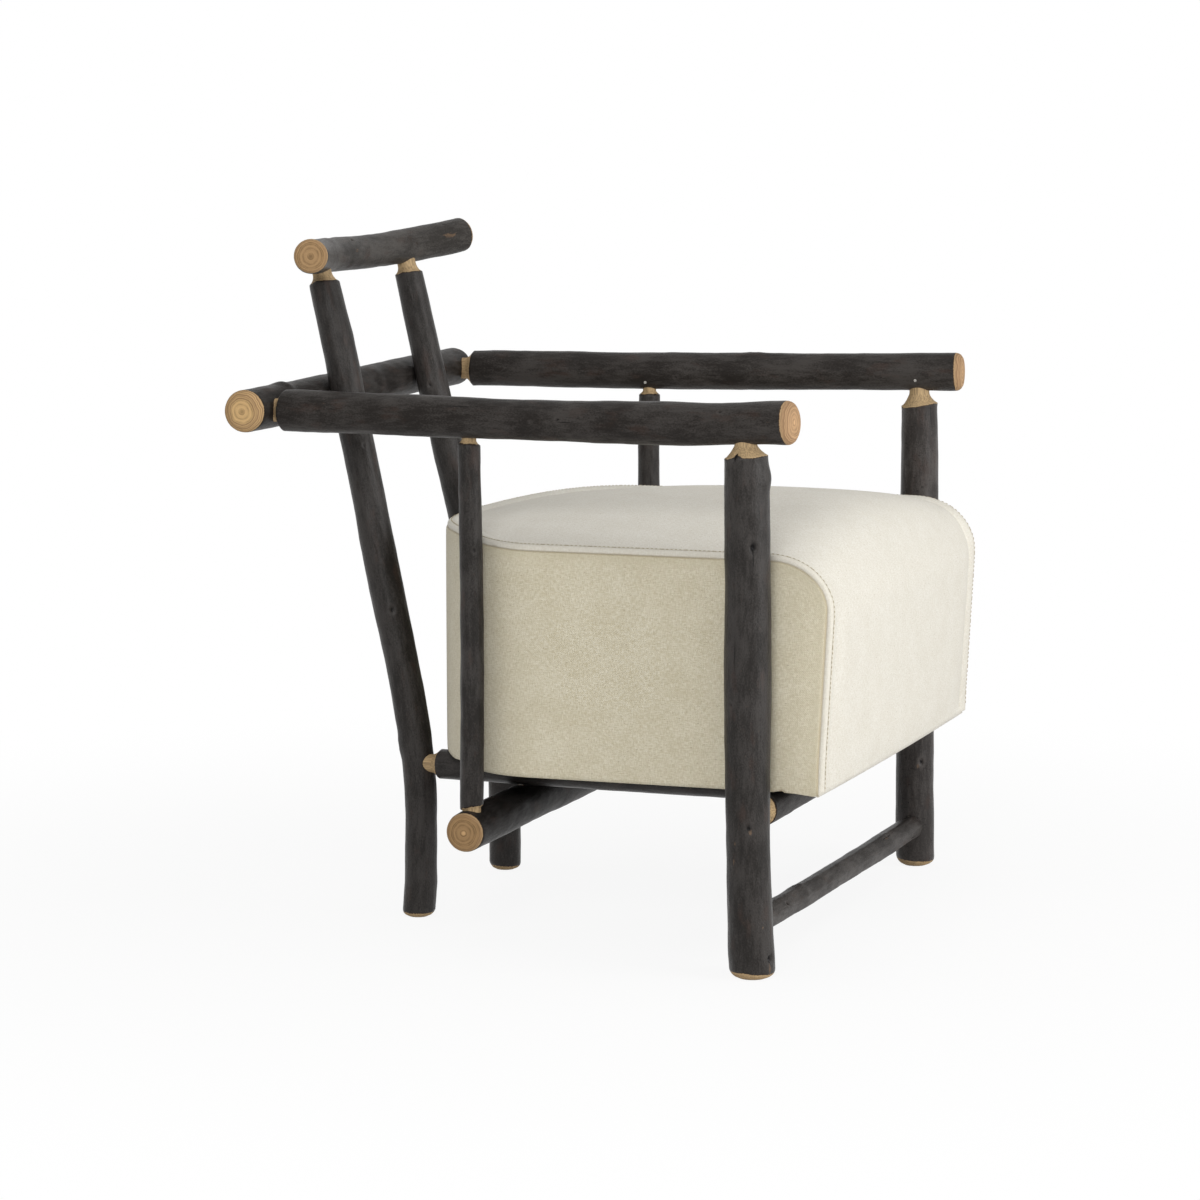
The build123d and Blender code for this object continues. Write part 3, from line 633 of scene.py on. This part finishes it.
# --- Arms -----------------------------------------------------------------------------------
# Straight logs, sawn with a wide eased edge in front. Behind, the bark's corner is rounded off
# round the tenon that goes into the back rail.
ARM_FRONT = sawn(0.0075, 0.0085, 0.0056)
ARM_BACK = whittled(0.0076, 0.013, 0.022, slant=0.0008)
ARM_KNOTS = {
    "right": [(0.299, 272, 0.0008, 0.0008), (0.266, 279, 0.0012, 0.0013), (0.077, 308, 0.0010, 0.0012),
              (0.44, 100, 0.0013, 0.0022), (0.17, 60, 0.0012, 0.0018)],
    "left": [(0.256, 4, 0.0013, 0.0015), (0.35, 255, 0.0008, 0.0010), (0.12, 120, 0.0012, 0.0022)],
}
peach_ended_bark = barked_log(
    "peach_ended_bark", (0.53, 0.335, 0.185), (0.021, 0.018, 0.0162), (0.054, 0.0485, 0.045),
    gloss=0.06, pith=1.30, heart=0.0175,
)
for side, seed in (("right", 31), ("left", 32)):
    log(
        f"arm_{side}", peach_ended_bark, Y_AXIS, ARM_FRONT, ARM_BACK, seed,
        knots=ARM_KNOTS[side], scrapes=[(0.021, 276, 0.003, 0.0015)], around=80,
    )

# --- Arm spindles ---------------------------------------------------------------------------
# Sticks as thick as a thumb between the cross beam and the arms, with short whittled ends.
SPINDLE_FOOT = whittled(0.0020, 0.010, 0.020, slant=0.0032, lean=255)
SPINDLE_TOP = whittled(0.004, 0.008, 0.020, slant=0.0012)
for side, seed in (("right", 41), ("left", 42)):
    log(
        f"arm_spindle_{side}", charcoal_bark, Z_AXIS, SPINDLE_FOOT, SPINDLE_TOP, seed,
        knots=[(0.31, 215, 0.0008, 0.0012)], around=48,
    )

# --- Seat frame -----------------------------------------------------------------------------
# Two side rails run from the posts to the front seat rail, which is tenoned into the legs. The
# cross beam is screwed up under them and carries the spindles, and a stretcher ties the legs.
RAIL_BACK = whittled(0.009, 0.0105, 0.020, slant=0.001)
RAIL_FRONT = whittled(0.0095, 0.0105, 0.016)
for side, seed in (("right", 51), ("left", 52)):
    log(f"side_rail_{side}", charcoal_bark, Y_AXIS, RAIL_FRONT, RAIL_BACK, seed, around=60)
LOW_GLOSS = 0.03
RAIL_END = whittled(0.0115, 0.012, 0.022)
matt_bark = barked_log("matt_bark", PALE_WOOD, gloss=LOW_GLOSS)
log("front_seat_rail", matt_bark, X_AXIS, RAIL_END, RAIL_END, 53, around=68)
BEAM_END = sawn(0.0030, 0.0060, 0.0034)
brown_ended_bark = barked_log(
    "brown_ended_bark", (0.37, 0.232, 0.115), (0.0140, 0.0122, 0.0110), (0.037, 0.0335, 0.0315),
    gloss=LOW_GLOSS, pith=1.9, heart=0.0185,
)
beam = log(
    "seat_cross_beam", brown_ended_bark, X_AXIS, BEAM_END, BEAM_END, 54,
    knots=[(0.131, 141, 0.0012, 0.0012), (0.47, 215, 0.0012, 0.0020)], around=80,
)
STRETCHER_END = sawn(0.0010, 0.0010, 0.0004)
planed_bark = barked_log(
    "planed_bark", PALE_WOOD, (0.034, 0.030, 0.0275), (0.080, 0.073, 0.068),
    gloss=LOW_GLOSS, lenticels=0.3,
)
log(
    "front_stretcher", planed_bark, X_AXIS, STRETCHER_END, STRETCHER_END, 55,
    knots=[(0.164, 92, 0.0018, 0.0014), (0.09, 146, 0.0003, 0.0016), (0.508, 120, 0.0013, 0.0012)],
    scrapes=[(0.345, 108, 0.006, 0.002), (0.500, 128, 0.010, 0.0020)], around=54, facets=6,
)

# --- Back rail and crest rail ---------------------------------------------------------------
# The back rail is screwed to the posts from behind and takes the arms. The crest rail is a
# bowed log that sits on the two post tenons.
BACK_RAIL_END = sawn(0.0065, 0.0090, 0.0072)
honey_ended_bark = barked_log("honey_ended_bark", (0.68, 0.45, 0.215), gloss=LOW_GLOSS, heart=0.0140)
back_rail = log(
    "back_rail", honey_ended_bark, X_AXIS, BACK_RAIL_END, BACK_RAIL_END, 61,
    knots=[(0.166, 178, 0.0016, 0.0012), (0.33, 60, 0.0014, 0.0020), (0.55, 250, 0.0012, 0.0020),
           (0.102, 105, 0.0034, 0.0004), (0.088, 150, 0.0020, 0.0004), (0.355, 160, 0.0026, 0.0004)],
)
CREST_END = sawn(0.0024, 0.0040, 0.0022)
grey_bark = barked_log(
    "grey_bark", (0.40, 0.255, 0.130), (0.038, 0.0348, 0.032), (0.083, 0.0765, 0.071),
    gloss=LOW_GLOSS, lenticels=0.6,
)
log(
    "crest_rail", grey_bark, X_AXIS, CREST_END, CREST_END, 62,
    knots=[(0.2196, 125, 0.0004, 0.0014), (0.370, 172, 0.0006, 0.0008)],
    scrapes=[(0.216, 166, 0.006, 0.003), (0.4425, 161, 0.014, 0.004)], around=72,
)

# --- Counterbores ---------------------------------------------------------------------------
# The screws sit in 10 mm counterbores drilled into the logs: from behind into the back rail, and
# from below into the cross beam and the side rails.
BORE_RADIUS, BORE_DEEPER = 0.005, 0.003
DRILL_LENGTH, WALL_REACH = 0.038, 0.036
BARE_WALL = -0.003
BACK_RAIL_SCREW = (0.1322, 0.339, 0.598)
BEAM_SCREW = (0.1526, 0.0615, 0.128)
SIDE_RAIL_SCREWS, SIDE_RAIL_UNDER = (-0.190, 0.098), 0.172
SIDE_RAIL_Y, SIDE_RAIL_X, SIDE_RAIL_SLOPE = -0.035, 0.1568, 0.0398


def bore(piece, head, way):
    """Drills a counterbore with bare walls, a little deeper than the face of a screw's head."""
    head, way = Vector(head), Vector(way)
    deselect()
    bpy.ops.mesh.primitive_cylinder_add(
        vertices=28, radius=BORE_RADIUS, depth=DRILL_LENGTH,
        location=head - way * (DRILL_LENGTH / 2 - BORE_DEEPER),
        rotation=way.to_track_quat("Z", "Y").to_euler(),
    )
    drill = bpy.context.object
    cut = piece.modifiers.new("counterbore", "BOOLEAN")
    cut.operation, cut.object, cut.solver = "DIFFERENCE", drill, "EXACT"
    apply_all(piece)
    bpy.data.objects.remove(drill)
    from_head = places(piece) - np.array(head)
    along = from_head @ np.array(way)
    across = np.linalg.norm(from_head - along[:, None] * np.array(way), axis=1)
    walls = (across < BORE_RADIUS + 5e-5) & (np.abs(along) < WALL_REACH)
    for name, value in (("bark", BARE_WALL), ("knot", KNOTLESS)):
        data = piece.data.attributes[name].data
        values = fetch(data, "value")
        values[walls] = value
        data.foreach_set("value", values)


for side, s in (("right", -1), ("left", 1)):
    bore(back_rail, BACK_RAIL_SCREW * np.array((s, 1, 1)), (0, -1, 0))
    bore(beam, BEAM_SCREW * np.array((s, 1, 1)), (0, 0, 1))
    for y in SIDE_RAIL_SCREWS:
        x = s * (SIDE_RAIL_X - (y - SIDE_RAIL_Y) * SIDE_RAIL_SLOPE)
        bore(bpy.data.objects[f"side_rail_{side}_log"], (x, y, SIDE_RAIL_UNDER), (0, 0, 1))

# --- Seat -----------------------------------------------------------------------------------
# One deep D-shaped block of foam on a board, in two panels of heavy undyed linen: one over the
# top and down the front, and one round the sides and back. They are sewn to each other inside
# out, and the seam allowance is stitched down beside the seam.
SEAM_HEIGHT = 0.452
SEAT_CROWN, CROWN_POWER, CROWN_Y, CROWN_HALF = 0.033, 2.2, -0.150, 0.330
REAR_CIRCLE, REAR_MIDDLE, REAR_CORNER = 0.390, -0.208, 0.110
ROLL_BACK, ROLL_DOWN = 0.066, 0.053
FRONT_LEAN, FRONT_SHOULDER, FRONT_SWELL, FRONT_LIMIT = 0.011, 0.402, 0.003, -0.349
HEM_HEIGHT, HEM_SAG, HEM_FLARE, HEM_CREASE = 0.030, 0.003, 0.0012, 0.9
HEM_INSIDE_X, HEM_INSIDE_Y, TURNED_UNDER = 0.25, (-0.31, 0.10), -0.8
SEAT_CELLS, ON_CUBE_FACE = (64, 56, 28), 0.999
LINEN_SWELL, LINEN_THICKNESS, LINEN_THREAD = 0.006, 0.0016, 0.0025
# The second colour is the painted shade in the seam's groove.
LINEN_FLECK, LINEN_SEAM_SHADE = (0.30, 0.23, 0.14), (0.34, 0.27, 0.16)
SEAM_TUCK, SEAM_EDGE, SEAM_ENDS = 0.0017, 0.0022, 0.003  # SEAM_ENDS is over the base
STUFFING_PRESSURE, STUFFING_FRAMES, TOP_WEAVE = 4.0, 20, 0.25
seat_low, seat_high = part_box("seat_side_cover")
SEAT_HALF, SEAT_FRONT, SEAT_BASE = seat_high.x, max(seat_low.y, FRONT_LIMIT), seat_low.z


def plan_edge():
    """Half of the seat's outline in plan, from the front to the middle of the back."""
    corner_x = SEAT_HALF - REAR_CORNER
    corner_y = REAR_MIDDLE + ((REAR_CIRCLE - REAR_CORNER) ** 2 - corner_x**2) ** 0.5
    meet = np.arctan2(corner_y - REAR_MIDDLE, corner_x)
    turns = np.linspace(0, meet, 40)
    sweep = np.linspace(meet, pi / 2, 60)[1:]
    line = np.vstack([
        [(SEAT_HALF, SEAT_FRONT)],
        np.c_[corner_x + REAR_CORNER * np.cos(turns), corner_y + REAR_CORNER * np.sin(turns)],
        np.c_[REAR_CIRCLE * np.cos(sweep), REAR_MIDDLE + REAR_CIRCLE * np.sin(sweep)],
    ])
    side_run = corner_y - SEAT_FRONT + REAR_CORNER * meet / 2
    return line, run_along(line), side_run


def seat_form(a, b, c):
    """Where a point of the cube (a across, b front to back, c up, all -1 to 1) lies on the seat."""
    line, run, side_run = plan_edge()
    v = (b + 1) / 2
    side = follow(line, run, v * side_run)
    rear = follow(line, run, run[-1] - np.abs(a) * (run[-1] - side_run))
    rear[:, 0] *= np.sign(a)
    corner = follow(line, run, side_run)
    x = v * (rear[:, 0] - a * corner[0]) + a * side[:, 0]
    y = v * (rear[:, 1] - corner[1]) + side[:, 1]
    bow = 1 - np.abs(np.clip(x / SEAT_HALF, -1, 1)) ** CROWN_POWER
    along = np.clip(1 - ((y - CROWN_Y) / CROWN_HALF) ** 2, 0, 1)
    top = SEAM_HEIGHT + SEAT_CROWN * bow * along
    z = SEAT_BASE + (top - SEAT_BASE) * (c + 1) / 2
    back = np.clip(1 - (y - SEAT_FRONT) / ROLL_BACK, 0, 1)
    down = np.clip(1 - (top - z) / ROLL_DOWN, 0, 1)
    y = y + ROLL_BACK * back * (1 - np.sqrt(1 - down**2 / 2))
    z = z - ROLL_DOWN * down * (1 - np.sqrt(1 - back**2 / 2))
    lean = FRONT_LEAN * np.clip((FRONT_SHOULDER - z) / (FRONT_SHOULDER - SEAT_BASE), 0, 1)
    swell = FRONT_SWELL * (1 - (x / SEAT_HALF) ** 2)
    low = np.clip(1 - (z - SEAT_BASE) / HEM_HEIGHT, 0, 1)
    sag = np.clip(1 - (y - SEAT_FRONT) / HEM_HEIGHT, 0, 1) * low * low
    return np.c_[x, y + (lean - swell - HEM_FLARE * low) * (1 - v), z - HEM_SAG * sag]


def face_outward():
    """Turns all the faces of the active piece to its outside."""
    bpy.ops.object.mode_set(mode="EDIT")
    bpy.ops.mesh.select_all(action="SELECT")
    bpy.ops.mesh.normals_make_consistent(inside=False)
    bpy.ops.object.mode_set(mode="OBJECT")


deselect()
bpy.ops.mesh.primitive_cube_add(size=2)
seat = bpy.context.object
seat.name = "seat_linen"
bpy.ops.object.mode_set(mode="EDIT")
for way, cells in enumerate(SEAT_CELLS):
    pick(seat, "edges", lambda edge: abs(edge.verts[0].co[way] - edge.verts[1].co[way]) > 1e-3)
    bpy.ops.mesh.subdivide(number_cuts=cells - 1)
bpy.ops.object.mode_set(mode="OBJECT")
cube = places(seat)
a, b, c = cube.T
on_side, on_top, on_front, on_back, under = (np.abs(t - 1) < 1e-4 for t in (np.abs(a), c, -b, b, -c))
on_seam = (on_side & (on_top | on_front)) | (on_back & on_top)
note(seat, "cube", cube)
formed = seat_form(a, b, c)
put(seat, formed)
face_outward()

held = seat.vertex_groups.new(name="held")
held.add([int(i) for i in np.flatnonzero(on_seam | under)], 1.0, "REPLACE")
stuffing = seat.modifiers.new("stuffing", "CLOTH")
stuffing.settings.use_pressure = True
stuffing.settings.uniform_pressure_force = STUFFING_PRESSURE
stuffing.settings.vertex_group_mass = "held"
stuffing.settings.effector_weights.gravity = 0.0
for moment in range(1, STUFFING_FRAMES + 1):
    bpy.context.scene.frame_set(moment)
apply_all(seat)
pushed = places(seat) - formed
far = np.linalg.norm(pushed, axis=1)
put(seat, formed + pushed * (LINEN_SWELL / np.maximum(far, LINEN_SWELL))[:, None])
bpy.context.scene.frame_set(1)
seat.vertex_groups.clear()
note(seat, "outward", fetch(seat.data.vertices, "normal", 3))


def seam_path(step=0.0025):
    """The seam's places on the cube and on the seat: up one front corner, round and down again."""
    fine = np.linspace(-1, 1, 700)
    one = np.ones_like(fine)
    on_cube = np.vstack([
        np.c_[-one, -one, fine],
        np.c_[-one, fine, one][1:],
        np.c_[fine, one, one][1:],
        np.c_[one, fine[::-1], one][1:],
        np.c_[one, -one, fine[::-1]][1:],
    ])
    line = seat_form(*on_cube.T)
    run = run_along(line)
    steps = np.linspace(0, run[-1], round(run[-1] / step))
    return follow(line, run, steps), steps


def lay_flat(panel, u, v):
    """Writes where each vertex of a panel lies on the flat cloth, in metres, as its weave map."""
    corners = np.zeros(len(panel.data.loops), int)
    panel.data.loops.foreach_get("vertex_index", corners)
    weave = panel.data.uv_layers.new(name="weave")
    weave.uv.foreach_set("vector", np.c_[u, v][corners].astype(np.float32).ravel())


def map_weave(panel, over_top):
    """Lays each panel out flat, in metres, so that its threads run true."""
    a, b, c = fetch(panel.data.attributes["cube"].data, "vector", 3).T
    _, run, side_run = plan_edge()
    half_height = (SEAM_HEIGHT - SEAT_BASE) / 2
    if over_top:
        lay_flat(panel, a * SEAT_HALF, (b + 1) * TOP_WEAVE - (1 - c) * half_height)
    else:
        round_side = np.where(np.abs(a) > ON_CUBE_FACE, np.sign(a), 0) * (1 - b) / 2 * side_run
        lay_flat(panel, a * (run[-1] - side_run) + round_side, c * half_height)


def woven_linen(name, pale, deep):
    """Plain weave of uneven threads with slubs, on the panel's own weave map in metres."""
    finish = Finish(name)
    flat = finish.node("ShaderNodeUVMap", {"uv_map": "weave"}, {})
    across = finish.noise(flat, 1400, 1, stretch=(0.12, 1, 1))
    along = finish.noise(flat, 1400, 1, stretch=(1, 0.12, 1))
    slubs = 0.5 * finish.noise(flat, 620, 2, stretch=(0.30, 1, 1))
    slubs = slubs + 0.5 * finish.noise(flat, 620, 2, stretch=(1, 0.30, 1))
    mottle = finish.noise(flat, 28, 2)
    tone = finish.ramp(0.34 * across + 0.34 * along + 0.5 * slubs + 0.14 * mottle, 0.54, 0.80)
    colour = finish.mix(tone, deep, pale)
    flecks = finish.ramp(finish.noise(flat, 700, 0, stretch=(0.4, 1, 1)), 0.75, 0.82)
    colour = finish.mix(0.45 * flecks, colour, LINEN_FLECK)
    # Painted shade: within 18 mm of the seam the linen turns towards its deep tone. A brown line of painted
    # shade lies in the seam's groove and, on the welt, in the stitch row.
    groove = finish.attribute("seam") + 0.0006 * (across - 0.5)
    colour = finish.mix(0.45 * (1 - finish.ramp(groove, 0.0, 0.018)), colour, deep)
    colour = finish.mix(0.50 * (1 - finish.ramp(groove, 0.0004, 0.0013)), colour, LINEN_SEAM_SHADE)
    warp, weft = (
        finish.sine(finish.node("ShaderNodeSeparateXYZ", {}, {0: flat}, way) * (tau / LINEN_THREAD))
        for way in (0, 1)
    )
    height = 0.25 * warp * weft + 0.5 * across + 0.5 * along + 0.8 * slubs
    return finish.surface(
        Base_Color=colour, Roughness=0.92, Sheen_Weight=0.15, Normal=finish.bump(height, 0.0005),
    )


top_linen = woven_linen("woven_top_linen", (0.79, 0.765, 0.695), (0.67, 0.63, 0.54))
# Painted light: the side panel gets a darker, yellower copy of the top linen, standing in for the dimmer,
# warmer light on the sides.
side_linen_painted_light = woven_linen("woven_side_linen", (0.74, 0.69, 0.55), (0.57, 0.51, 0.36))
seat.data.materials.append(top_linen)
seat.data.materials.append(side_linen_painted_light)
for face in seat.data.polygons:
    middle = cube[list(face.vertices)].mean(0)
    turned_under = middle[2] < -ON_CUBE_FACE and middle[1] < TURNED_UNDER
    over_top = middle[2] > ON_CUBE_FACE or middle[1] < -ON_CUBE_FACE or turned_under
    face.material_index = 0 if over_top else 1


def inside_hem(face):
    """Whether a face lies on the board, farther in than the linen's hem is turned under."""
    middle = face.calc_center_median()
    within = abs(middle.x) < HEM_INSIDE_X and HEM_INSIDE_Y[0] < middle.y < HEM_INSIDE_Y[1]
    return within and middle.z < SEAT_BASE + 1e-4


take(seat)
bpy.ops.object.mode_set(mode="EDIT")
bpy.ops.mesh.select_mode(type="FACE")
pick(seat, "faces", inside_hem)
bpy.ops.mesh.delete(type="FACE")
bpy.ops.mesh.select_all(action="SELECT")
bpy.ops.mesh.separate(type="MATERIAL")
bpy.ops.object.mode_set(mode="OBJECT")
seam_line, seam_run = seam_path()
heading = unit(np.gradient(seam_line, axis=0))


def open_rim(panel):
    """Which vertices lie on the panel's open edge."""
    uses = {}
    for face in panel.data.polygons:
        for pair in face.edge_keys:
            uses[pair] = uses.get(pair, 0) + 1
    rim = np.zeros(len(panel.data.vertices), bool)
    for pair, count in uses.items():
        if count == 1:
            rim[list(pair)] = True
    return rim


def from_seam(points, parts=40):
    """How far the points lie from the tucked seam, a part of them at a time to spare memory."""
    distances = []
    for part in np.array_split(points, parts):
        nearest = np.linalg.norm(part[:, None] - seam_line[None], axis=2).argmin(1)
        offset = part - seam_line[nearest]
        offset -= (offset * heading[nearest]).sum(1)[:, None] * heading[nearest]
        distances.append(np.maximum(np.linalg.norm(offset, axis=1) - SEAM_TUCK, 0))
    return np.concatenate(distances)


for panel in list(bpy.context.selected_objects):
    over_top = panel.data.materials[0].name == "woven_top_linen"
    panel.name = "seat_top_panel" if over_top else "seat_side_panel"
    take(panel)
    bpy.ops.object.mode_set(mode="EDIT")
    bpy.ops.mesh.select_all(action="SELECT")
    bpy.ops.mesh.inset(thickness=SEAM_EDGE, use_boundary=True)
    bpy.ops.object.mode_set(mode="OBJECT")
    here = places(panel)
    rim = open_rim(panel) & (here[:, 2] > SEAT_BASE + SEAM_ENDS)
    put(panel, here - SEAM_TUCK * fetch(panel.data.attributes["outward"].data, "vector", 3) * rim[:, None])
    on_cube = np.abs(fetch(panel.data.attributes["cube"].data, "vector", 3)) > ON_CUBE_FACE
    hem = on_cube[:, 2] & (on_cube[:, 0] | on_cube[:, 1]) & (here[:, 2] < SEAT_BASE + 0.0001)
    folded = [HEM_CREASE * float(hem[list(edge.vertices)].all()) for edge in panel.data.edges]
    panel.data.attributes.new("crease_edge", "FLOAT", "EDGE").data.foreach_set("value", folded)
    smooth = panel.modifiers.new("smooth", "SUBSURF")
    smooth.levels = smooth.render_levels = 1
    apply_all(panel)
    note(panel, "seam", from_seam(places(panel)))
top_panel, side_panel = bpy.data.objects["seat_top_panel"], bpy.data.objects["seat_side_panel"]

# The seam allowance lies under the top panel and is stitched down through it with cotton. That
# raises a soft welt beside the seam, with the stitches in a groove on its shoulder. Each row of the
# profile is a distance from the seam, a lift off the panel, and how far off the seam it is shaded.
WELT_PROFILE = np.array([
    (0.0004, -0.0014, 0.0), (0.0006, 0.0006, 0.0010), (0.0014, 0.0020, 0.003), (0.0028, 0.0033, 0.004),
    (0.0044, 0.0042, 0.004), (0.0060, 0.0045, 0.004), (0.0064, 0.0042, 0.0003), (0.0078, 0.0043, 0.0003),
    (0.0082, 0.0046, 0.005), (0.0120, 0.0043, 0.009), (0.0170, 0.0028, 0.014), (0.0220, 0.0009, 0.018),
    (0.0250, -0.0012, 0.018),
])
WELT_THICKNESS, WELT_END = 0.0006, -0.0012
STITCH_PLACE, STITCH_LIFT, STITCH_STEP, STITCH_MARGIN = 0.0070, 0.0048, 0.0046, 0.010
STITCH_SIZE = (0.0031, 0.0010, 0.0009)
UPPER_SEAM, SEAM_LOOK = 0.42, 0.015
seat_heart = np.array((0.0, -0.11, 0.30))
inward_way = np.zeros_like(seam_line)
for i, spot in enumerate(seam_line):
    toward = (seat_heart - spot) * ((1, 1, 0) if spot[2] > UPPER_SEAM else (1, 0, 0))
    beside = Vector(spot + toward * SEAM_LOOK / np.linalg.norm(toward))
    _, _, facing, _ = top_panel.closest_point_on_mesh(beside)
    sideways = np.cross(np.array(facing), heading[i])
    inward_way[i] = sideways / np.linalg.norm(sideways) * np.sign(sideways @ toward)
for _ in range(6):
    inward_way[1:-1] = (inward_way[:-2] + 2 * inward_way[1:-1] + inward_way[2:]) / 4
inward_way = unit(inward_way)
seam_up = np.cross(inward_way, heading)
seam_up = unit(seam_up * np.sign((seam_up * (seam_line - seat_heart)).sum(1))[:, None])


def beside_seam(place, away, lift):
    """A point over the top panel at that place along the seam, and the three ways there."""
    last = len(seam_line) - 1
    i = int(np.clip(round(place / (seam_run[-1] / last)), 0, last))
    _, spot, _, _ = top_panel.closest_point_on_mesh(Vector(seam_line[i] + inward_way[i] * away))
    return np.array(spot) + seam_up[i] * lift, seam_up[i], heading[i], inward_way[i]


deselect()
steps_along, steps_across = len(seam_line) - 1, len(WELT_PROFILE) - 1
bpy.ops.mesh.primitive_grid_add(x_subdivisions=steps_along, y_subdivisions=steps_across, size=1)
band = bpy.context.object
band.name = "seat_seam_band"
laid = places(band)
order_x = np.rint((laid[:, 0] + 0.5) * steps_along).astype(int)
order_y = np.rint((laid[:, 1] + 0.5) * steps_across).astype(int)
from_end = np.minimum(order_x, steps_along - order_x)
for i in range(len(laid)):
    away, lift, _ = WELT_PROFILE[order_y[i]]
    laid[i] = beside_seam(seam_run[order_x[i]], away, lift if from_end[i] > 1 else WELT_END)[0]
put(band, laid)
note(band, "seam", WELT_PROFILE[order_y, 2])
lay_flat(band, seam_run[order_x], run_along(WELT_PROFILE[:, :2])[order_y])
face_outward()
facing = np.array([face.normal for face in band.data.polygons])
middles = np.array([face.center for face in band.data.polygons])
if (facing * (middles - seat_heart)).sum() < 0:
    band.data.flip_normals()
doubled = band.modifiers.new("doubled", "SOLIDIFY")
doubled.thickness, doubled.offset = WELT_THICKNESS, -1
apply_all(band)
bpy.ops.object.shade_smooth()
band.data.materials.append(top_linen)

deselect()
bpy.ops.mesh.primitive_uv_sphere_add(segments=6, ring_count=4, radius=0.5, rotation=(0, pi / 2, 0))
bpy.ops.object.transform_apply(location=True, rotation=True, scale=True)
stitches = bpy.context.object
stitches.name = "seat_topstitching"
one_stitch = len(stitches.data.vertices)
row = stitches.modifiers.new("row", "ARRAY")
row.count = int((seam_run[-1] - 2 * STITCH_MARGIN) / STITCH_STEP)
stitch_count = row.count
apply_all(stitches)
local = places(stitches).reshape(stitch_count, one_stitch, 3)
local[:, :, 0] -= np.arange(stitch_count)[:, None]
for i in range(stitch_count):
    at, up, ahead, across = beside_seam(STITCH_MARGIN + i * STITCH_STEP, STITCH_PLACE, STITCH_LIFT)
    local[i] = at + local[i] @ (np.array([ahead, across, up]) * np.array(STITCH_SIZE)[:, None])
put(stitches, local.reshape(-1, 3))
face_outward()
bpy.ops.object.shade_smooth()
# The thread's colour is partly its own tone and partly painted shade: it is darker than the linen, for the
# shade of the dimples where the stitches sink in.
cotton = Finish("cotton_thread_painted_shade")
twist = cotton.noise(cotton.own_place(), 2600, 2)
stitches.data.materials.append(cotton.surface(
    Base_Color=cotton.mix(twist, (0.38, 0.32, 0.21), (0.52, 0.46, 0.33)),
    Roughness=0.8, Normal=cotton.bump(twist, 0.0002),
))
for piece in (band, stitches):
    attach(piece, "root")

# The linen gets its thickness last, because the welt is laid on the top panel's bare faces.
for panel in (top_panel, side_panel):
    take(panel)
    cloth = panel.modifiers.new("cloth", "SOLIDIFY")
    cloth.thickness, cloth.offset = LINEN_THICKNESS, -1
    apply_all(panel)
    map_weave(panel, over_top=panel is top_panel)
    bpy.ops.object.shade_smooth()
    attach(panel, "root")
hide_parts("seat_top_cover", "seat_foam")
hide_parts("seat_side_cover")

# --- Board, dust cover and fixings ----------------------------------------------------------
# A birch plywood board under the foam, a thin black cloth stapled over its underside, and the
# staples, brads and screws that hold the chair together. They keep their CAD shapes.
PLY = 0.0026


def coat(material, *nodes):
    """Gives CAD nodes that keep their own shapes one material."""
    for name in nodes:
        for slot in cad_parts[name].material_slots:
            slot.material = material


plywood = Finish("birch_plywood")
spot = plywood.own_place()
figure = plywood.noise(spot, 160, 4, 0.6, stretch=(1, 0.12, 1))
plies = plywood.sine(plywood.node("ShaderNodeSeparateXYZ", {}, {0: spot}, 2) * (pi / PLY))
layered = 0.7 * plywood.ramp(figure, 0.35, 0.70) + 0.15 * plies
plywood.surface(
    Base_Color=plywood.mix(layered, (0.60, 0.45, 0.28), (0.42, 0.28, 0.15)),
    Roughness=0.62 + 0.15 * figure, Normal=plywood.bump(figure, 0.0004),
)
coat(plywood.owner, "seat_board")

felt = Finish("black_dust_cloth")
spot = felt.own_place()
fibres = felt.noise(spot, 1500, 3, 0.7, stretch=(1, 1, 0.2))
dimples = felt.node("ShaderNodeTexVoronoi", {}, {"Vector": spot, "Scale": 420.0}, "Distance")
felt.surface(
    Base_Color=felt.mix(felt.ramp(fibres, 0.35, 0.70), (0.010, 0.010, 0.011), (0.034, 0.034, 0.036)),
    Roughness=0.94, Specular_IOR_Level=0.25, Normal=felt.bump(0.5 * fibres + 0.5 * dimples, 0.0004),
)
coat(felt.owner, "dust_cover")


def plated(name, bright, dull, roughness):
    """Plated steel with fine drawn scratches and a little dulling."""
    finish = Finish(name)
    spot = finish.own_place()
    dulled = finish.ramp(finish.noise(spot, 700, 3, 0.6), 0.40, 0.68)
    drawn = finish.noise(spot, 3000, 2, stretch=(1, 0.1, 1))
    return finish.surface(
        Base_Color=finish.mix(dulled, bright, dull), Metallic=1.0,
        Roughness=roughness + 0.18 * dulled + 0.08 * (drawn - 0.5), Normal=finish.bump(drawn, 0.00005),
    )


coat(plated("galvanised_wire", (0.62, 0.62, 0.61), (0.42, 0.42, 0.42), 0.34), "cover_staples")
coat(plated("bright_brads", (0.50, 0.48, 0.45), (0.30, 0.29, 0.27), 0.30), "arm_brads")
zinc = plated("zinc_screws", (0.66, 0.64, 0.58), (0.44, 0.42, 0.38), 0.32)
coat(zinc, "back_rail_screws", "cross_beam_screws", "seat_board_screws")
